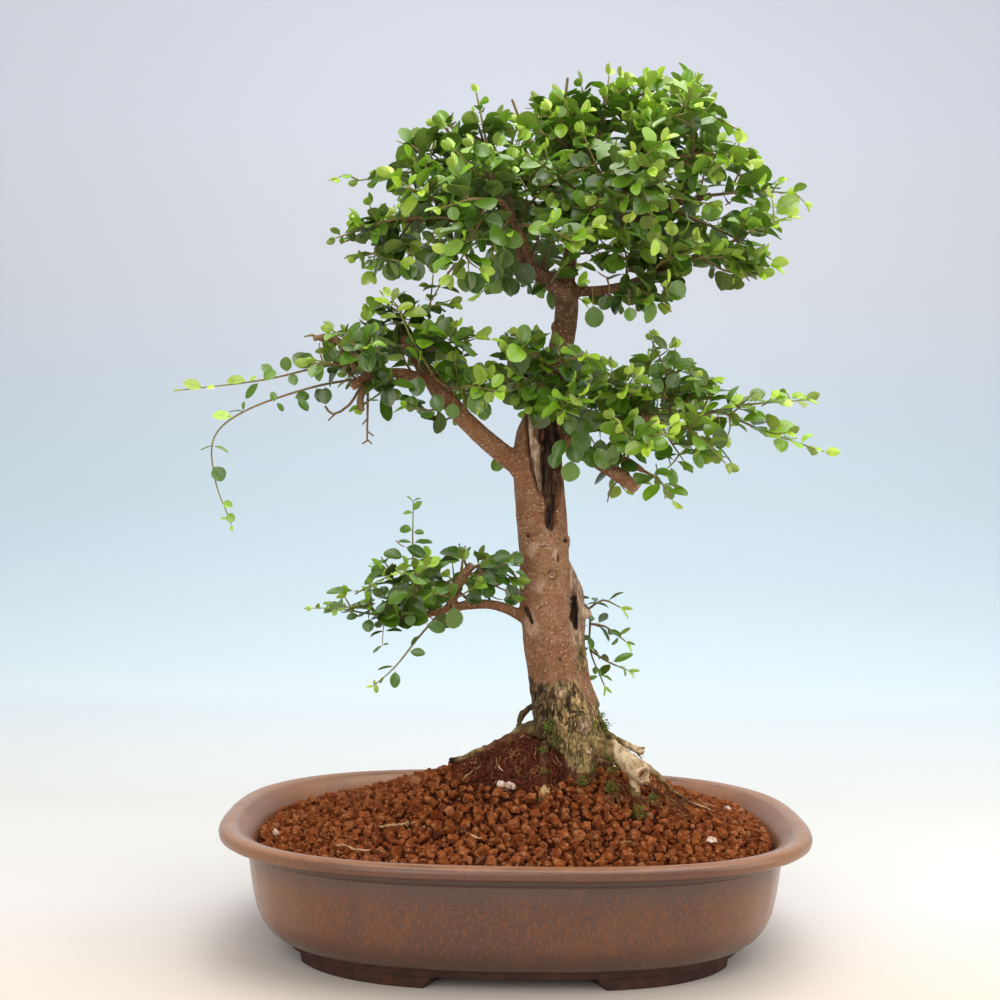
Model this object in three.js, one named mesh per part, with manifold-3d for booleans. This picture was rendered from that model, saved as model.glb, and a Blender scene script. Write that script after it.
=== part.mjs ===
// Privet bonsai in its oval glazed pot, as separate closed solids.
// Millimetres, +Z up. The origin is on the ground under the middle of the pot,
// the front of the tree faces -Y and its left side is -X.
import * as THREE from 'three';
import Module from 'manifold-3d';

const wasm = await Module();
wasm.setup();

// Driving dimensions
const gap = 0.3;
const pot = {
  squareness: 2.72,
  sidesRound: 36,
  // height, half length, half depth: foot ring, body, bead, rolled lip, inner wall, floor
  profile: [
    [7.3, 138, 103], [12, 139.5, 104.5], [12.3, 141, 106], [18, 152, 114], [30, 160, 120],
    [50, 165, 123.5], [65, 167.5, 125], [68, 172, 129], [73, 184, 141.5], [76.5, 185, 142.5],
    [80, 182, 139.5], [78.5, 174, 131.5], [68, 163, 120.5], [20, 150, 108],
  ],
  floor: 20,
  holes: { x: 74, radius: 12, sides: 14 },
};
const foot = { height: 7.3, ends: [0.58, 1.2], splay: 0.05, outer: [132, 101.5], inner: [110, 82], steps: 5 };
const screen = { size: 40, thickness: 0.9, opening: 13, openings: 2 };
const soil = {
  rim: 69.5,
  mound: { x: 12, height: 44, reachX: 100, reachY: 75, squareness: 1.3 },
  rootBall: { x: -12, y: -12, height: 11, reachX: 36, reachY: 30 },
  step: 16,
  relief: 6,
  shift: 5,
};
const leaf = {
  length: [21, 25],
  tipLength: 15,
  slimness: 0.66,
  thickness: 0.72,
  arch: 0.1,
  spread: 1.15,
  // blades face up and away from the middle of the tree
  sunFrom: { x: 25, y: 0 },
  tilt: 0.8,
  // share of the length and of the width, from the base round the blade
  outline: [[0, 0], [0.32, 0.46], [0.7, 0.45], [1, 0], [0.7, -0.45], [0.32, -0.46]],
};
const twig = { base: 1.35, tip: 1.1, sideShoot: 0.85, sides: 4, bendEvery: 34, leafStep: 36, seat: 0.4 };

// The trunk from its buried base to the cut above the main limbs:
// height, centre x, centre y, half width, half depth, and how far the root buttresses stand out
const trunkSections = [
  [88, 36, 1, 27, 24, 0.1],
  [110, 35, 0, 29, 26, 0.16],
  [122, 35, -1, 27, 25, 0.13],
  [134, 34, -2, 24, 22, 0.1],
  [148, 31, -2, 20.5, 19, 0.07],
  [164, 27, -1, 18.5, 17.5, 0.04],
  [184, 22.5, 0, 16.5, 16, 0.02],
  [212, 19, 0, 15.5, 15, 0],
  [250, 18, 0, 15.8, 14.5, 0],
  [285, 15, 0, 17, 15, 0],
  [308, 12.5, 0, 17, 15.5, 0],
  [326, 12.5, 0, 15.5, 14, 0],
  [338, 15, 0, 11.5, 11, 0],
];
const trunkSides = 12;
const buttresses = 5;

// Limbs, roots and branches: radius where it leaves, radius at its end, sides, and its route
const wood = [
  // leader above the cut, and the deadwood ridge on the right of the trunk
  [8.6, 7.2, 8, [[16, 0, 326], [21, 0, 358], [26, 0, 381], [29, 0, 404], [28, 0, 421]]],
  [4.5, 9, 7, [[32, 8, 240], [37, 9, 224], [39, 10, 200], [40, 8, 170], [48, 6, 134]]],
  // first left limb with its cut end, its side limb and its stub
  [7, 4.2, 8, [
    [6, 0, 298], [-9, -5, 309], [-30, -13, 326], [-50, -18, 348], [-62, -20, 364], [-75, -20, 383],
  ]],
  [3.4, 2.6, 6, [[-56, -19, 355], [-79, -30, 359], [-93, -36, 357], [-105, -40, 349]]],
  [2.6, 1.8, 5, [[-91, -35, 357], [-103, -38, 366], [-111, -38, 376], [-126, -38, 379]]],
  // right limbs, the lower one cut short
  [6, 4.2, 7, [[22, 5, 322], [42, 0, 312], [58, -8, 301], [75, -14, 289]]],
  [3, 2, 5, [[50, -4, 307], [67, -10, 307], [79, -14, 300]]],
  [5, 1.8, 6, [[20, 8, 325], [53, 15, 331], [79, 20, 335], [122, 25, 339]]],
  // low left branch and its upright stub
  [3.8, 2, 6, [[10, 4, 201], [-13, -10, 213], [-30, -18, 214], [-60, -28, 207]]],
  [3, 2.5, 5, [[-43, -22, 213], [-36, -22, 230], [-29, -22, 240]]],
  // branches in front of and behind the leader
  [3, 1.8, 5, [[18, 0, 341], [22, -24, 350], [24, -46, 357]]],
  [3, 1.8, 5, [[19, 0, 346], [8, 40, 354], [2, 64, 360]]],
  // fork of the crown and its branches
  [5.6, 3.4, 7, [[28, 0, 415], [14, -6, 423], [2, -12, 433], [-4, -16, 449]]],
  [5.4, 1.8, 6, [[28, 0, 417], [32, 8, 444], [39, 14, 471], [44, 16, 501], [50, 14, 524]]],
  [3.4, 1.8, 6, [[28, 0, 416], [45, -8, 415], [65, -14, 418], [84, -20, 426], [126, -33, 441]]],
  [2.8, 1.8, 4, [[-3, -15, 446], [-25, -20, 455], [-55, -22, 457], [-80, -24, 455]]],
  [2.6, 1.8, 4, [[-2, -13, 443], [-18, 12, 460], [-36, 38, 474], [-50, 60, 482]]],
  [2.8, 1.8, 4, [[-4, -16, 445], [-9, -14, 470], [-22, -14, 486], [-42, -18, 494]]],
  [2.2, 1.8, 4, [[-9, -14, 468], [-17, -5, 492], [-26, 2, 512]]],
  [2.6, 1.8, 4, [[8, -9, 427], [0, -38, 440], [-14, -82, 456]]],
  [2.6, 1.8, 4, [[40, 14, 478], [62, 8, 500], [96, 4, 528]]],
  [2.8, 1.8, 4, [[34, 10, 454], [62, 6, 464], [122, 4, 480]]],
  [2.4, 1.8, 4, [[37, 13, 464], [54, 44, 478], [68, 70, 486]]],
  [2, 1.8, 4, [[44, 16, 496], [34, 42, 508], [24, 64, 514]]],
  [2.6, 1.8, 4, [[33, 8, 446], [40, -22, 462], [52, -76, 474]]],
  [2.6, 1.8, 4, [[28, 2, 423], [14, 38, 434], [4, 70, 440]]],
  [2.2, 1.8, 4, [[43, 15, 490], [72, -22, 494], [94, -48, 492]]],
  // surface roots: left, a loop, right, the cut root with its leg, front, and two at the back
  [10, 2.6, 7, [[22, -4, 138], [-4, -9, 127], [-26, -13, 119], [-48, -16, 108]]],
  [2.2, 1.6, 5, [[17, 8, 149], [3, 10, 141], [0, 8, 118]]],
  [5, 2.2, 6, [[44, 4, 138], [65, 10, 127], [92, 16, 106]]],
  [8, 5, 7, [[42, -18, 134], [62, -38, 127], [71, -50, 120], [75, -55, 112]]],
  [4, 3, 6, [[70, -49, 119], [73, -53, 110], [73, -54, 88]]],
  [2.4, 1.6, 5, [[73, -50, 117], [88, -46, 110], [113, -52, 88]]],
  [8, 3, 7, [[36, -12, 132], [38, -34, 119], [38, -54, 96]]],
  [7, 2.6, 6, [[32, 14, 134], [22, 40, 122], [12, 66, 96]]],
  [6, 2.4, 6, [[46, 10, 132], [62, 36, 118], [76, 56, 94]]],
];
// the rotten hollow down the front of the trunk: radius at its ends and its route
const hollow = [3.6, 3, 6, [[14, -17.5, 336], [18, -15.5, 318], [20, -15.5, 290], [24, -16.5, 250]]];

// Sprays: the first shoot leaves the wood, and any further one leaves the first.
// A shoot is a route from its base to its tip.
const sprays = {
  crown_left: [
    [[-42, -18, 494], [-70, -20, 487], [-104, -20, 481]],
    [[-56, -19, 491], [-68, -10, 503], [-82, -2, 511]],
  ],
  crown_left_low: [
    [[-80, -24, 455], [-97, -28, 448], [-114, -30, 439]],
    [[-88, -26, 452], [-91, -38, 436], [-93, -42, 421]],
  ],
  crown_left_front: [[[-42, -21, 456], [-58, -44, 466], [-74, -62, 468]]],
  crown_left_back: [
    [[-50, 60, 482], [-68, 72, 482], [-88, 84, 476]],
    [[-60, 67, 482], [-76, 62, 464], [-88, 58, 448]],
  ],
  crown_left_top: [
    [[-26, 2, 512], [-40, 4, 520], [-56, 2, 524]],
    [[-33, 3, 516], [-32, 12, 530], [-32, 16, 543]],
  ],
  crown_front_left: [
    [[-14, -82, 456], [-30, -96, 454], [-48, -108, 446]],
    [[-22, -89, 455], [-30, -88, 434], [-42, -86, 412]],
  ],
  crown_front_low: [[[-6, -58, 447], [12, -84, 440], [28, -106, 428]]],
  crown_top: [
    [[50, 14, 524], [54, 18, 544], [56, 22, 562]],
    [[52, 16, 534], [26, 12, 539], [0, 6, 541]],
  ],
  crown_top_right: [[[47, 15, 512], [70, 20, 538], [88, 24, 560]]],
  crown_top_front: [[[43, 15, 494], [30, -14, 512], [20, -40, 522]]],
  crown_right_top: [
    [[96, 4, 528], [106, 6, 542], [112, 6, 555]],
    [[100, 5, 534], [119, -2, 530], [136, -8, 520]],
  ],
  crown_right_back_top: [[[74, 6, 510], [88, 34, 518], [100, 58, 518]]],
  crown_right: [
    [[122, 4, 480], [150, 8, 486], [178, 12, 487]],
    [[134, 6, 482], [142, 14, 498], [148, 18, 511]],
  ],
  crown_right_low: [[[92, 5, 472], [124, -8, 456], [158, -14, 436]]],
  crown_right_back: [[[78, 5, 468], [104, 34, 462], [134, 52, 456]]],
  crown_back_right: [
    [[68, 70, 486], [86, 88, 488], [104, 102, 482]],
    [[76, 78, 487], [90, 84, 468], [98, 90, 450]],
  ],
  crown_back: [
    [[24, 64, 514], [8, 82, 516], [-10, 94, 510]],
    [[17, 71, 515], [34, 84, 526], [48, 90, 532]],
  ],
  crown_fork_right: [
    [[126, -33, 441], [146, -34, 452], [164, -30, 459]],
    [[134, -33, 446], [133, -32, 426], [128, -30, 408]],
  ],
  crown_fork_low: [[[65, -14, 418], [80, -28, 411], [92, -40, 398]]],
  crown_front: [
    [[52, -76, 474], [60, -94, 476], [70, -112, 470]],
    [[56, -85, 475], [70, -90, 456], [76, -92, 434]],
  ],
  crown_front_mid: [[[43, -36, 465], [20, -62, 476], [0, -82, 484]]],
  crown_back_low: [
    [[4, 70, 440], [-12, 88, 438], [-28, 106, 430]],
    [[-3, 78, 440], [22, 96, 436], [44, 106, 426]],
  ],
  crown_front_right: [
    [[94, -48, 492], [114, -62, 490], [130, -76, 482]],
    [[102, -54, 492], [100, -62, 510], [92, -68, 524]],
  ],
  mid_left_tip: [[[-103, -38, 366], [-126, -46, 360], [-158, -56, 351], [-211, -60, 343]]],
  mid_left_hook: [
    [
      [-97, -37, 355], [-128, -46, 348], [-166, -56, 333],
      [-185, -60, 316], [-184, -60, 290], [-174, -60, 264],
    ],
  ],
  mid_left_end: [[[-126, -38, 379], [-142, -36, 380], [-162, -34, 374]]],
  mid_left_top: [
    [[-75, -20, 383], [-80, -22, 395], [-87, -24, 407]],
    [[-79, -22, 393], [-60, -30, 400], [-46, -34, 402]],
  ],
  mid_left_inner: [[[-66, -20, 370], [-50, -38, 376], [-28, -52, 380]]],
  mid_left_front: [[[-50, -18, 348], [-36, -44, 350], [-16, -66, 346]]],
  mid_left_back: [
    [[-61, -20, 363], [-78, 4, 376], [-100, 20, 384]],
    [[-71, -7, 371], [-62, 18, 374], [-50, 42, 374]],
  ],
  mid_left_low: [
    [[-111, -38, 376], [-108, -60, 376], [-114, -80, 370]],
    [[-109, -54, 377], [-96, -66, 364], [-92, -80, 350]],
  ],
  mid_right: [
    [[122, 25, 339], [150, 28, 346], [190, 30, 350]],
    [[132, 26, 342], [165, 36, 329], [206, 40, 316]],
  ],
  mid_right_upright: [[[80, 20, 335], [84, 16, 362], [87, 12, 386]]],
  mid_right_low: [[[92, 21, 336], [112, 2, 326], [132, -6, 306]]],
  mid_right_hanging: [[[79, -14, 300], [88, -24, 294], [95, -32, 282]]],
  mid_right_stub: [[[60, -9, 301], [72, -36, 318], [88, -56, 322]]],
  mid_right_front: [[[53, 15, 331], [58, -16, 346], [62, -48, 348]]],
  mid_right_back: [
    [[66, 18, 333], [78, 46, 344], [92, 72, 344]],
    [[77, 43, 343], [104, 54, 344], [128, 62, 338]],
  ],
  mid_right_top: [[[104, 23, 337], [114, 30, 352], [130, 34, 364]]],
  mid_front: [
    [[24, -46, 357], [8, -62, 368], [-8, -72, 372]],
    [[17, -53, 363], [38, -66, 368], [54, -76, 364]],
  ],
  mid_front_low: [[[22, -30, 352], [24, -58, 342], [24, -82, 332]]],
  mid_back: [
    [[2, 64, 360], [-8, 88, 364], [-18, 108, 360]],
    [[-2, 73, 362], [-26, 82, 360], [-50, 86, 352]],
  ],
  mid_back_right: [[[8, 40, 354], [34, 62, 364], [50, 84, 364]]],
  low_tip: [
    [[-60, -28, 207], [-92, -38, 209], [-128, -42, 216]],
    [[-80, -34, 208], [-86, -40, 198], [-84, -44, 184]],
  ],
  low_upright: [[[-52, -26, 210], [-62, -28, 240], [-67, -30, 278]]],
  low_drooping: [[[-47, -25, 211], [-60, -40, 194], [-88, -46, 164]]],
  low_stub: [[[-33, -22, 234], [-22, -26, 246], [-8, -24, 252]]],
  low_back: [[[-28, -18, 214], [-46, 8, 226], [-64, 28, 230]]],
  low_front: [[[-42, -24, 212], [-42, -46, 220], [-50, -64, 224]]],
  low_left_top: [[[-57, -27, 208], [-78, -16, 228], [-96, -10, 238]]],
  trunk_back: [
    [[30, 10, 217], [48, 36, 208], [50, 42, 180], [60, 44, 156]],
    [[50, 42, 180], [62, 46, 172], [76, 48, 166]],
  ],
};

// Seeded random numbers from 0 to 1
let seed = 22;
function random() {
  seed = (seed + 0x6d2b79f5) >>> 0;
  let t = seed;
  t = Math.imul(t ^ (t >>> 15), t | 1);
  t ^= t + Math.imul(t ^ (t >>> 7), t | 61);
  return ((t ^ (t >>> 14)) >>> 0) / 4294967296;
}
const between = (low, high) => low + (high - low) * random();
const point = ([x, y, z]) => new THREE.Vector3(x, y, z);

// A solid from points and triangles, and a solid's triangles as a mesh
function solid(points, triangles) {
  const vertProperties = Float32Array.from(points.flatMap((p) => [p.x, p.y, p.z]));
  const triVerts = Uint32Array.from(triangles.flat());
  return new wasm.Manifold(new wasm.Mesh({ numProp: 3, vertProperties, triVerts }));
}

function join(bodies) {
  return bodies.reduce((whole, body) => whole.add(body));
}

function largest(body) {
  const bodies = body.decompose();
  const size = (b) => b.getMesh().triVerts.length;
  return bodies.reduce((best, b) => (size(b) > size(best) ? b : best));
}

function mesh(name, body, color, roughness) {
  const { vertProperties, triVerts } = body.getMesh();
  const geometry = new THREE.BufferGeometry();
  geometry.setAttribute('position', new THREE.BufferAttribute(vertProperties, 3));
  geometry.setIndex(new THREE.BufferAttribute(triVerts, 1));
  geometry.computeVertexNormals();
  const material = new THREE.MeshStandardMaterial({ color, roughness, metalness: 0 });
  const result = new THREE.Mesh(geometry, material);
  result.name = name;
  return result;
}

// Rings of points skinned into a closed solid, with a fan over each end.
// Rings run anticlockwise seen from the side that the loft moves towards.
function loft(rings) {
  const count = rings[0].length;
  const triangles = [];
  for (let r = 0; r + 1 < rings.length; r++) {
    for (let i = 0; i < count; i++) {
      const a = r * count + i;
      const b = r * count + ((i + 1) % count);
      triangles.push([a, b, b + count], [a, b + count, a + count]);
    }
  }
  const last = (rings.length - 1) * count;
  for (let i = 1; i + 1 < count; i++) {
    triangles.push([0, i + 1, i], [last, last + i, last + i + 1]);
  }
  return solid(rings.flat(), triangles);
}

// The way a route runs at each of its points, with a level side vector carried along it
function frames(route) {
  const centres = route.map(point);
  let side = null;
  return centres.map((centre, i) => {
    const next = centres[Math.min(i + 1, centres.length - 1)];
    const along = next.clone().sub(centres[Math.max(i - 1, 0)]).normalize();
    if (!side) {
      side = new THREE.Vector3(0, 0, 1).cross(along);
      if (side.length() < 0.2) side.set(1, 0, 0);
    }
    side = side.clone().addScaledVector(along, -side.dot(along)).normalize();
    return { centre, along, side, up: along.clone().cross(side) };
  });
}

// A tapering tube along a route; grow makes it fatter and longer for cutting clearances
function tube([startRadius, endRadius, sides, route], grow = 0) {
  const stations = frames(route);
  const last = stations.length - 1;
  stations[0].centre.addScaledVector(stations[0].along, -grow);
  stations[last].centre.addScaledVector(stations[last].along, grow);
  const rings = stations.map(({ centre, side, up }, i) => {
    const radius = grow + THREE.MathUtils.lerp(startRadius, endRadius, i / last);
    return Array.from({ length: sides }, (_, k) => {
      const angle = (2 * Math.PI * (k + 0.5)) / sides;
      const out = side.clone().multiplyScalar(Math.cos(angle) * radius);
      return out.addScaledVector(up, Math.sin(angle) * radius).add(centre);
    });
  });
  return loft(rings);
}

// Pot: rounded oval outlines, squarer than an ellipse
function outline(z, halfLength, halfDepth, from = 0, to = 2 * Math.PI, count = pot.sidesRound) {
  const open = to - from < 2 * Math.PI;
  return Array.from({ length: count }, (_, i) => {
    const angle = from + ((to - from) * i) / (open ? count - 1 : count);
    const c = Math.cos(angle);
    const s = Math.sin(angle);
    const reach = (Math.abs(c) ** pot.squareness + Math.abs(s) ** pot.squareness) ** (-1 / pot.squareness);
    return new THREE.Vector3(halfLength * c * reach, halfDepth * s * reach, z);
  });
}

// One foot under a corner, following the outline, with sloping ends
function footBody(corner) {
  const ring = (z, splay) => {
    const from = corner * Math.PI / 2 + (corner % 2 ? Math.PI / 2 - foot.ends[1] : foot.ends[0]) + splay;
    const to = from + foot.ends[1] - foot.ends[0] - 2 * splay;
    const outside = outline(z, foot.outer[0], foot.outer[1], from, to, foot.steps);
    const inside = outline(z, foot.inner[0], foot.inner[1], from, to, foot.steps).reverse();
    return [...outside, ...inside];
  };
  const bottom = ring(0, foot.splay);
  const top = ring(foot.height + 1, 0);
  const count = bottom.length;
  const triangles = [];
  for (let i = 0; i < count; i++) {
    const j = (i + 1) % count;
    triangles.push([i, j, j + count], [i, j + count, i + count]);
  }
  for (let i = 0; i + 1 < foot.steps; i++) {
    const [a, b, c, d] = [i, i + 1, count - 2 - i, count - 1 - i];
    triangles.push([a, c, b], [a, d, c]);
    triangles.push([a + count, b + count, c + count], [a + count, c + count, d + count]);
  }
  return solid([...bottom, ...top], triangles);
}

function disc(x, bottom, top, radius, sides) {
  return tube([radius, radius, sides, [[x, 0, bottom], [x, 0, top]]]);
}

function makePot() {
  const shell = loft(pot.profile.map(([z, a, b]) => outline(z, a, b)));
  const feet = [0, 1, 2, 3].map(footBody);
  const { x, radius, sides } = pot.holes;
  const holes = [-x, x].map((hx) => disc(hx, 0, pot.floor + 10, radius, sides));
  return join([shell, ...feet]).subtract(join(holes));
}

// Box between two corners
function box([x0, y0, z0], [x1, y1, z1]) {
  const ring = (z) => [[x0, y0, z], [x1, y0, z], [x1, y1, z], [x0, y1, z]].map(point);
  return loft([ring(z0), ring(z1)]);
}

// Mesh screens over the drain holes, each lying on the pot's floor
function screenBody(x, grow = 0) {
  const half = screen.size / 2 + grow;
  const bottom = pot.floor + gap - grow;
  const top = pot.floor + gap + screen.thickness + grow;
  const plate = box([x - half, -half, bottom], [x + half, half, top]);
  if (grow > 0) return plate;
  const pitch = screen.size / screen.openings;
  const openings = [];
  for (let i = 0; i < screen.openings ** 2; i++) {
    const cx = x - half + pitch * (0.5 + (i % screen.openings));
    const cy = -half + pitch * (0.5 + Math.floor(i / screen.openings));
    const reach = screen.opening / 2;
    openings.push(box([cx - reach, cy - reach, bottom - 1], [cx + reach, cy + reach, top + 1]));
  }
  return plate.subtract(join(openings));
}

// Soil: granules as relief on a mound, filling the pot up to its inner wall
function soilHeight(x, y) {
  const { mound, rootBall } = soil;
  const far = ((x - mound.x) / mound.reachX) ** 2 + (y / mound.reachY) ** 2;
  const ball = ((x - rootBall.x) / rootBall.reachX) ** 2 + ((y - rootBall.y) / rootBall.reachY) ** 2;
  return soil.rim + mound.height * Math.exp(-(far ** mound.squareness)) + rootBall.height * Math.exp(-ball);
}

function makeSoil(cuts) {
  const [, rimLength, rimDepth] = pot.profile[9];
  const columns = Math.ceil((2 * rimLength) / soil.step);
  const rows = Math.ceil((2 * rimDepth) / (soil.step * 0.87));
  const top = [];
  for (let r = 0; r <= rows; r++) {
    for (let c = 0; c <= columns; c++) {
      const x = -rimLength + soil.step * (c + (r % 2) / 2) + between(-0.5, 0.5) * soil.shift;
      const y = -rimDepth + soil.step * 0.87 * r + between(-0.5, 0.5) * soil.shift;
      top.push(new THREE.Vector3(x, y, soilHeight(x, y) + between(-0.5, 0.5) * soil.relief));
    }
  }
  const bottom = top.map((p) => new THREE.Vector3(p.x, p.y, 5));
  const width = columns + 1;
  const triangles = [];
  const wall = (a, b) => triangles.push([b, a, a + top.length], [b, a + top.length, b + top.length]);
  for (let r = 0; r < rows; r++) {
    for (let c = 0; c < columns; c++) {
      const a = r * width + c;
      const faces = r % 2
        ? [[a, a + 1, a + width + 1], [a, a + width + 1, a + width]]
        : [[a, a + 1, a + width], [a + 1, a + width + 1, a + width]];
      for (const [i, j, k] of faces) {
        triangles.push([i, j, k], [i + top.length, k + top.length, j + top.length]);
      }
    }
    wall((r + 1) * width, r * width);
    wall(r * width + columns, (r + 1) * width + columns);
  }
  for (let c = 0; c < columns; c++) {
    wall(c, c + 1);
    wall(rows * width + c + 1, rows * width + c);
  }
  const block = solid([...top, ...bottom], triangles);
  const inside = pot.profile.slice(11).reverse().map(([z, a, b]) => outline(z, a - 2 * gap, b - 2 * gap));
  inside[0].forEach((p) => p.setZ(pot.floor + gap));
  inside.push(inside.at(-1).map((p) => p.clone().setZ(140)));
  return largest(block.intersect(loft(inside)).subtract(cuts));
}

// Trunk with its buttresses, limbs, branches and roots, all grown as one
function trunkBody(grow = 0) {
  const rings = trunkSections.map(([z, x, y, halfWidth, halfDepth, stand], row) =>
    Array.from({ length: trunkSides }, (_, i) => {
      const angle = (2 * Math.PI * i) / trunkSides;
      const reach = 1 + stand * Math.cos(buttresses * angle + 0.6);
      const edge = row === 0 ? -grow : row === trunkSections.length - 1 ? grow : 0;
      return new THREE.Vector3(
        x + (halfWidth * reach + grow) * Math.cos(angle),
        y + (halfDepth * reach + grow) * Math.sin(angle),
        z + edge,
      );
    }));
  return join([loft(rings), ...wood.map((part) => tube(part, grow))]);
}

// One leaf: a six-sided blade, arched over its length. trim leaves out its base, grow fattens it.
function blade({ base, along, face, length }, trim = 0, grow = 0) {
  const width = length * leaf.slimness;
  const across = along.clone().cross(face).normalize();
  const half = leaf.thickness / 2 + grow;
  const points = [half, -half].flatMap((offset) => leaf.outline.map(([l, w]) => {
    const reach = (l === 0 ? trim : l) * length + (l === 1 ? grow : 0);
    return base.clone()
      .addScaledVector(along, reach)
      .addScaledVector(across, w * (width + 2 * grow))
      .addScaledVector(face, offset - leaf.arch * reach * l);
  }));
  const top = [[0, 1, 5], [1, 2, 4], [1, 4, 5], [2, 3, 4]];
  const triangles = top.flatMap(([a, b, c]) => [[a, b, c], [a + 6, c + 6, b + 6]]);
  for (let i = 0; i < 6; i++) {
    const j = (i + 1) % 6;
    triangles.push([i, i + 6, j + 6], [i, j + 6, j]);
  }
  return { body: solid(points, triangles), box: new THREE.Box3().setFromPoints(points) };
}

function crosses(one, others) {
  return others.some((other) =>
    one.box.intersectsBox(other.box) && one.body.intersect(other.body).getMesh().triVerts.length > 0);
}

// A shoot: a thin twig on a smooth route, which ends in a young leaf at the route's end
function makeShoot(route, order) {
  const curve = new THREE.CatmullRomCurve3(route.map(point));
  const length = curve.getLength();
  const end = 1 - (0.9 * leaf.tipLength) / length;
  const steps = Math.max(2, Math.round(length / twig.bendEvery));
  const stations = Array.from({ length: steps + 1 }, (_, i) => curve.getPoint((end * i) / steps).toArray());
  const size = order ? twig.sideShoot : 1;
  const shape = [twig.base * size, twig.tip * size, twig.sides, stations];
  const box = new THREE.Box3().setFromPoints(stations.map(point)).expandByScalar(twig.base + gap);
  const fat = { body: tube(shape, gap), box };
  return { curve, length, end, steps, frames: frames(stations), body: tube(shape), fat };
}

// Leaves in opposite pairs up a shoot, each pair a quarter turn from the last, and one at its tip.
function leavesOf(shoot, spray, strangers) {
  const pairs = Math.max(1, Math.round((shoot.length - 6) / twig.leafStep));
  const first = 10 / shoot.length;
  for (let n = 0; n <= pairs; n++) {
    const last = n === pairs;
    const t = last ? 0.98 : first + ((0.93 - first) * (n + 0.6)) / pairs;
    const { side, up, along } = shoot.frames[Math.round(t * shoot.steps)];
    const size = last ? leaf.tipLength : between(...leaf.length);
    const spread = last ? 0.12 : leaf.spread;
    const facings = last ? [side] : n % 2 ? [up, up.clone().negate()] : [side, side.clone().negate()];
    for (const facing of facings) {
      const centre = shoot.curve.getPoint(t * shoot.end);
      const grown = growLeaf(centre, along, facing, spread, size, spray, strangers);
      if (grown) spray.leaves.push(grown);
    }
  }
}

// A leaf that would cross anything is turned about its twig, and left out where no turn clears it.
function growLeaf(centre, axis, facing, spread, length, spray, strangers) {
  const lean = between(-0.25, 0.25);
  const own = spray.leaves.map((l) => l.outer).concat(spray.shoots.map((s) => s.fat));
  for (const nudge of [0, 0.35, -0.35, 0.7, -0.7]) {
    const out = facing.clone().applyAxisAngle(axis, lean + nudge);
    const base = centre.clone().addScaledVector(out, twig.seat);
    const along = axis.clone().multiplyScalar(Math.cos(spread)).addScaledVector(out, Math.sin(spread));
    const face = new THREE.Vector3(centre.x - leaf.sunFrom.x, centre.y - leaf.sunFrom.y, 0).normalize();
    face.multiplyScalar(leaf.tilt).add(new THREE.Vector3(between(-0.4, 0.4), between(-0.4, 0.4), 1));
    face.addScaledVector(along, -face.dot(along)).normalize();
    const shape = { base, along, face, length };
    const outer = blade(shape, 0.25, gap / 2);
    if (!crosses(blade(shape, 0.1, gap), strangers) && !crosses(outer, own)) {
      return { whole: blade(shape), outer };
    }
  }
  return null;
}

function makeSprays(woodFat) {
  const made = Object.entries(sprays).map(([name, routes]) => (
    { name, leaves: [], shoots: routes.map(makeShoot) }));
  const reach = new THREE.Vector3(500, 500, 700);
  const trunk = { body: woodFat, box: new THREE.Box3(reach.clone().negate(), reach) };
  for (const spray of made) {
    const others = made.filter((other) => other !== spray);
    const strangers = others.flatMap((o) => [...o.shoots.map((s) => s.fat), ...o.leaves.map((l) => l.whole)]);
    spray.shoots.forEach((shoot) => leavesOf(shoot, spray, [trunk, ...strangers]));
  }
  return made.map(({ name, shoots, leaves }) => {
    const whole = join([...shoots.map((s) => s.body), ...leaves.map((l) => l.whole.body)]);
    return mesh(`spray_${name}`, largest(whole.subtract(woodFat)), 0x3f6b1f, 0.45);
  });
}

const woodFat = trunkBody(gap);
const screens = [-pot.holes.x, pot.holes.x];
const pockets = join(screens.map((x) => screenBody(x, gap)));

const bonsai = new THREE.Group();
bonsai.name = 'privet_bonsai';
bonsai.add(
  mesh('pot', makePot(), 0x6b4a3a, 0.35),
  mesh('soil', makeSoil(woodFat.add(pockets)), 0x6a3219, 0.95),
  mesh('trunk', largest(trunkBody().subtract(tube(hollow))), 0x8a6f58, 0.8),
  mesh('drain_screen_left', screenBody(screens[0]), 0x2a2f2c, 0.6),
  mesh('drain_screen_right', screenBody(screens[1]), 0x2a2f2c, 0.6),
  ...makeSprays(woodFat),
);

export default bonsai;
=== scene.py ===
import math
import random

import bpy
import numpy as np
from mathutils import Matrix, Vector, noise


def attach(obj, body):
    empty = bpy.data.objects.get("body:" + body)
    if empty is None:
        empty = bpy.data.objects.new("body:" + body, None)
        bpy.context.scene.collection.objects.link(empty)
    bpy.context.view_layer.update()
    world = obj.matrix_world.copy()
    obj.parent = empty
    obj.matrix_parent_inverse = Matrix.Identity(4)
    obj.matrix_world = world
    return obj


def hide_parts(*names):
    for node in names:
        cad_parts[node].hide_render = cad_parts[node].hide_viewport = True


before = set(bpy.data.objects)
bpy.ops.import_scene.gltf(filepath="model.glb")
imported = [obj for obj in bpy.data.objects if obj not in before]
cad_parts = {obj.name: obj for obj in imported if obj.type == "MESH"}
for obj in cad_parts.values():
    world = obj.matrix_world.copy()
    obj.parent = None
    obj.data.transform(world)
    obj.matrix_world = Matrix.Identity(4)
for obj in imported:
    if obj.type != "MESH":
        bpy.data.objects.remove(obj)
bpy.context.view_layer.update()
mm = 0.001

# Pot: an oval stoneware bowl with a rolled lip, a thin bead under it and four corner feet,
# pressed in one piece and dipped in a satin iron glaze that stops above the foot ring.
pot_squareness = 2.72
pot_points_round = 144
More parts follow.
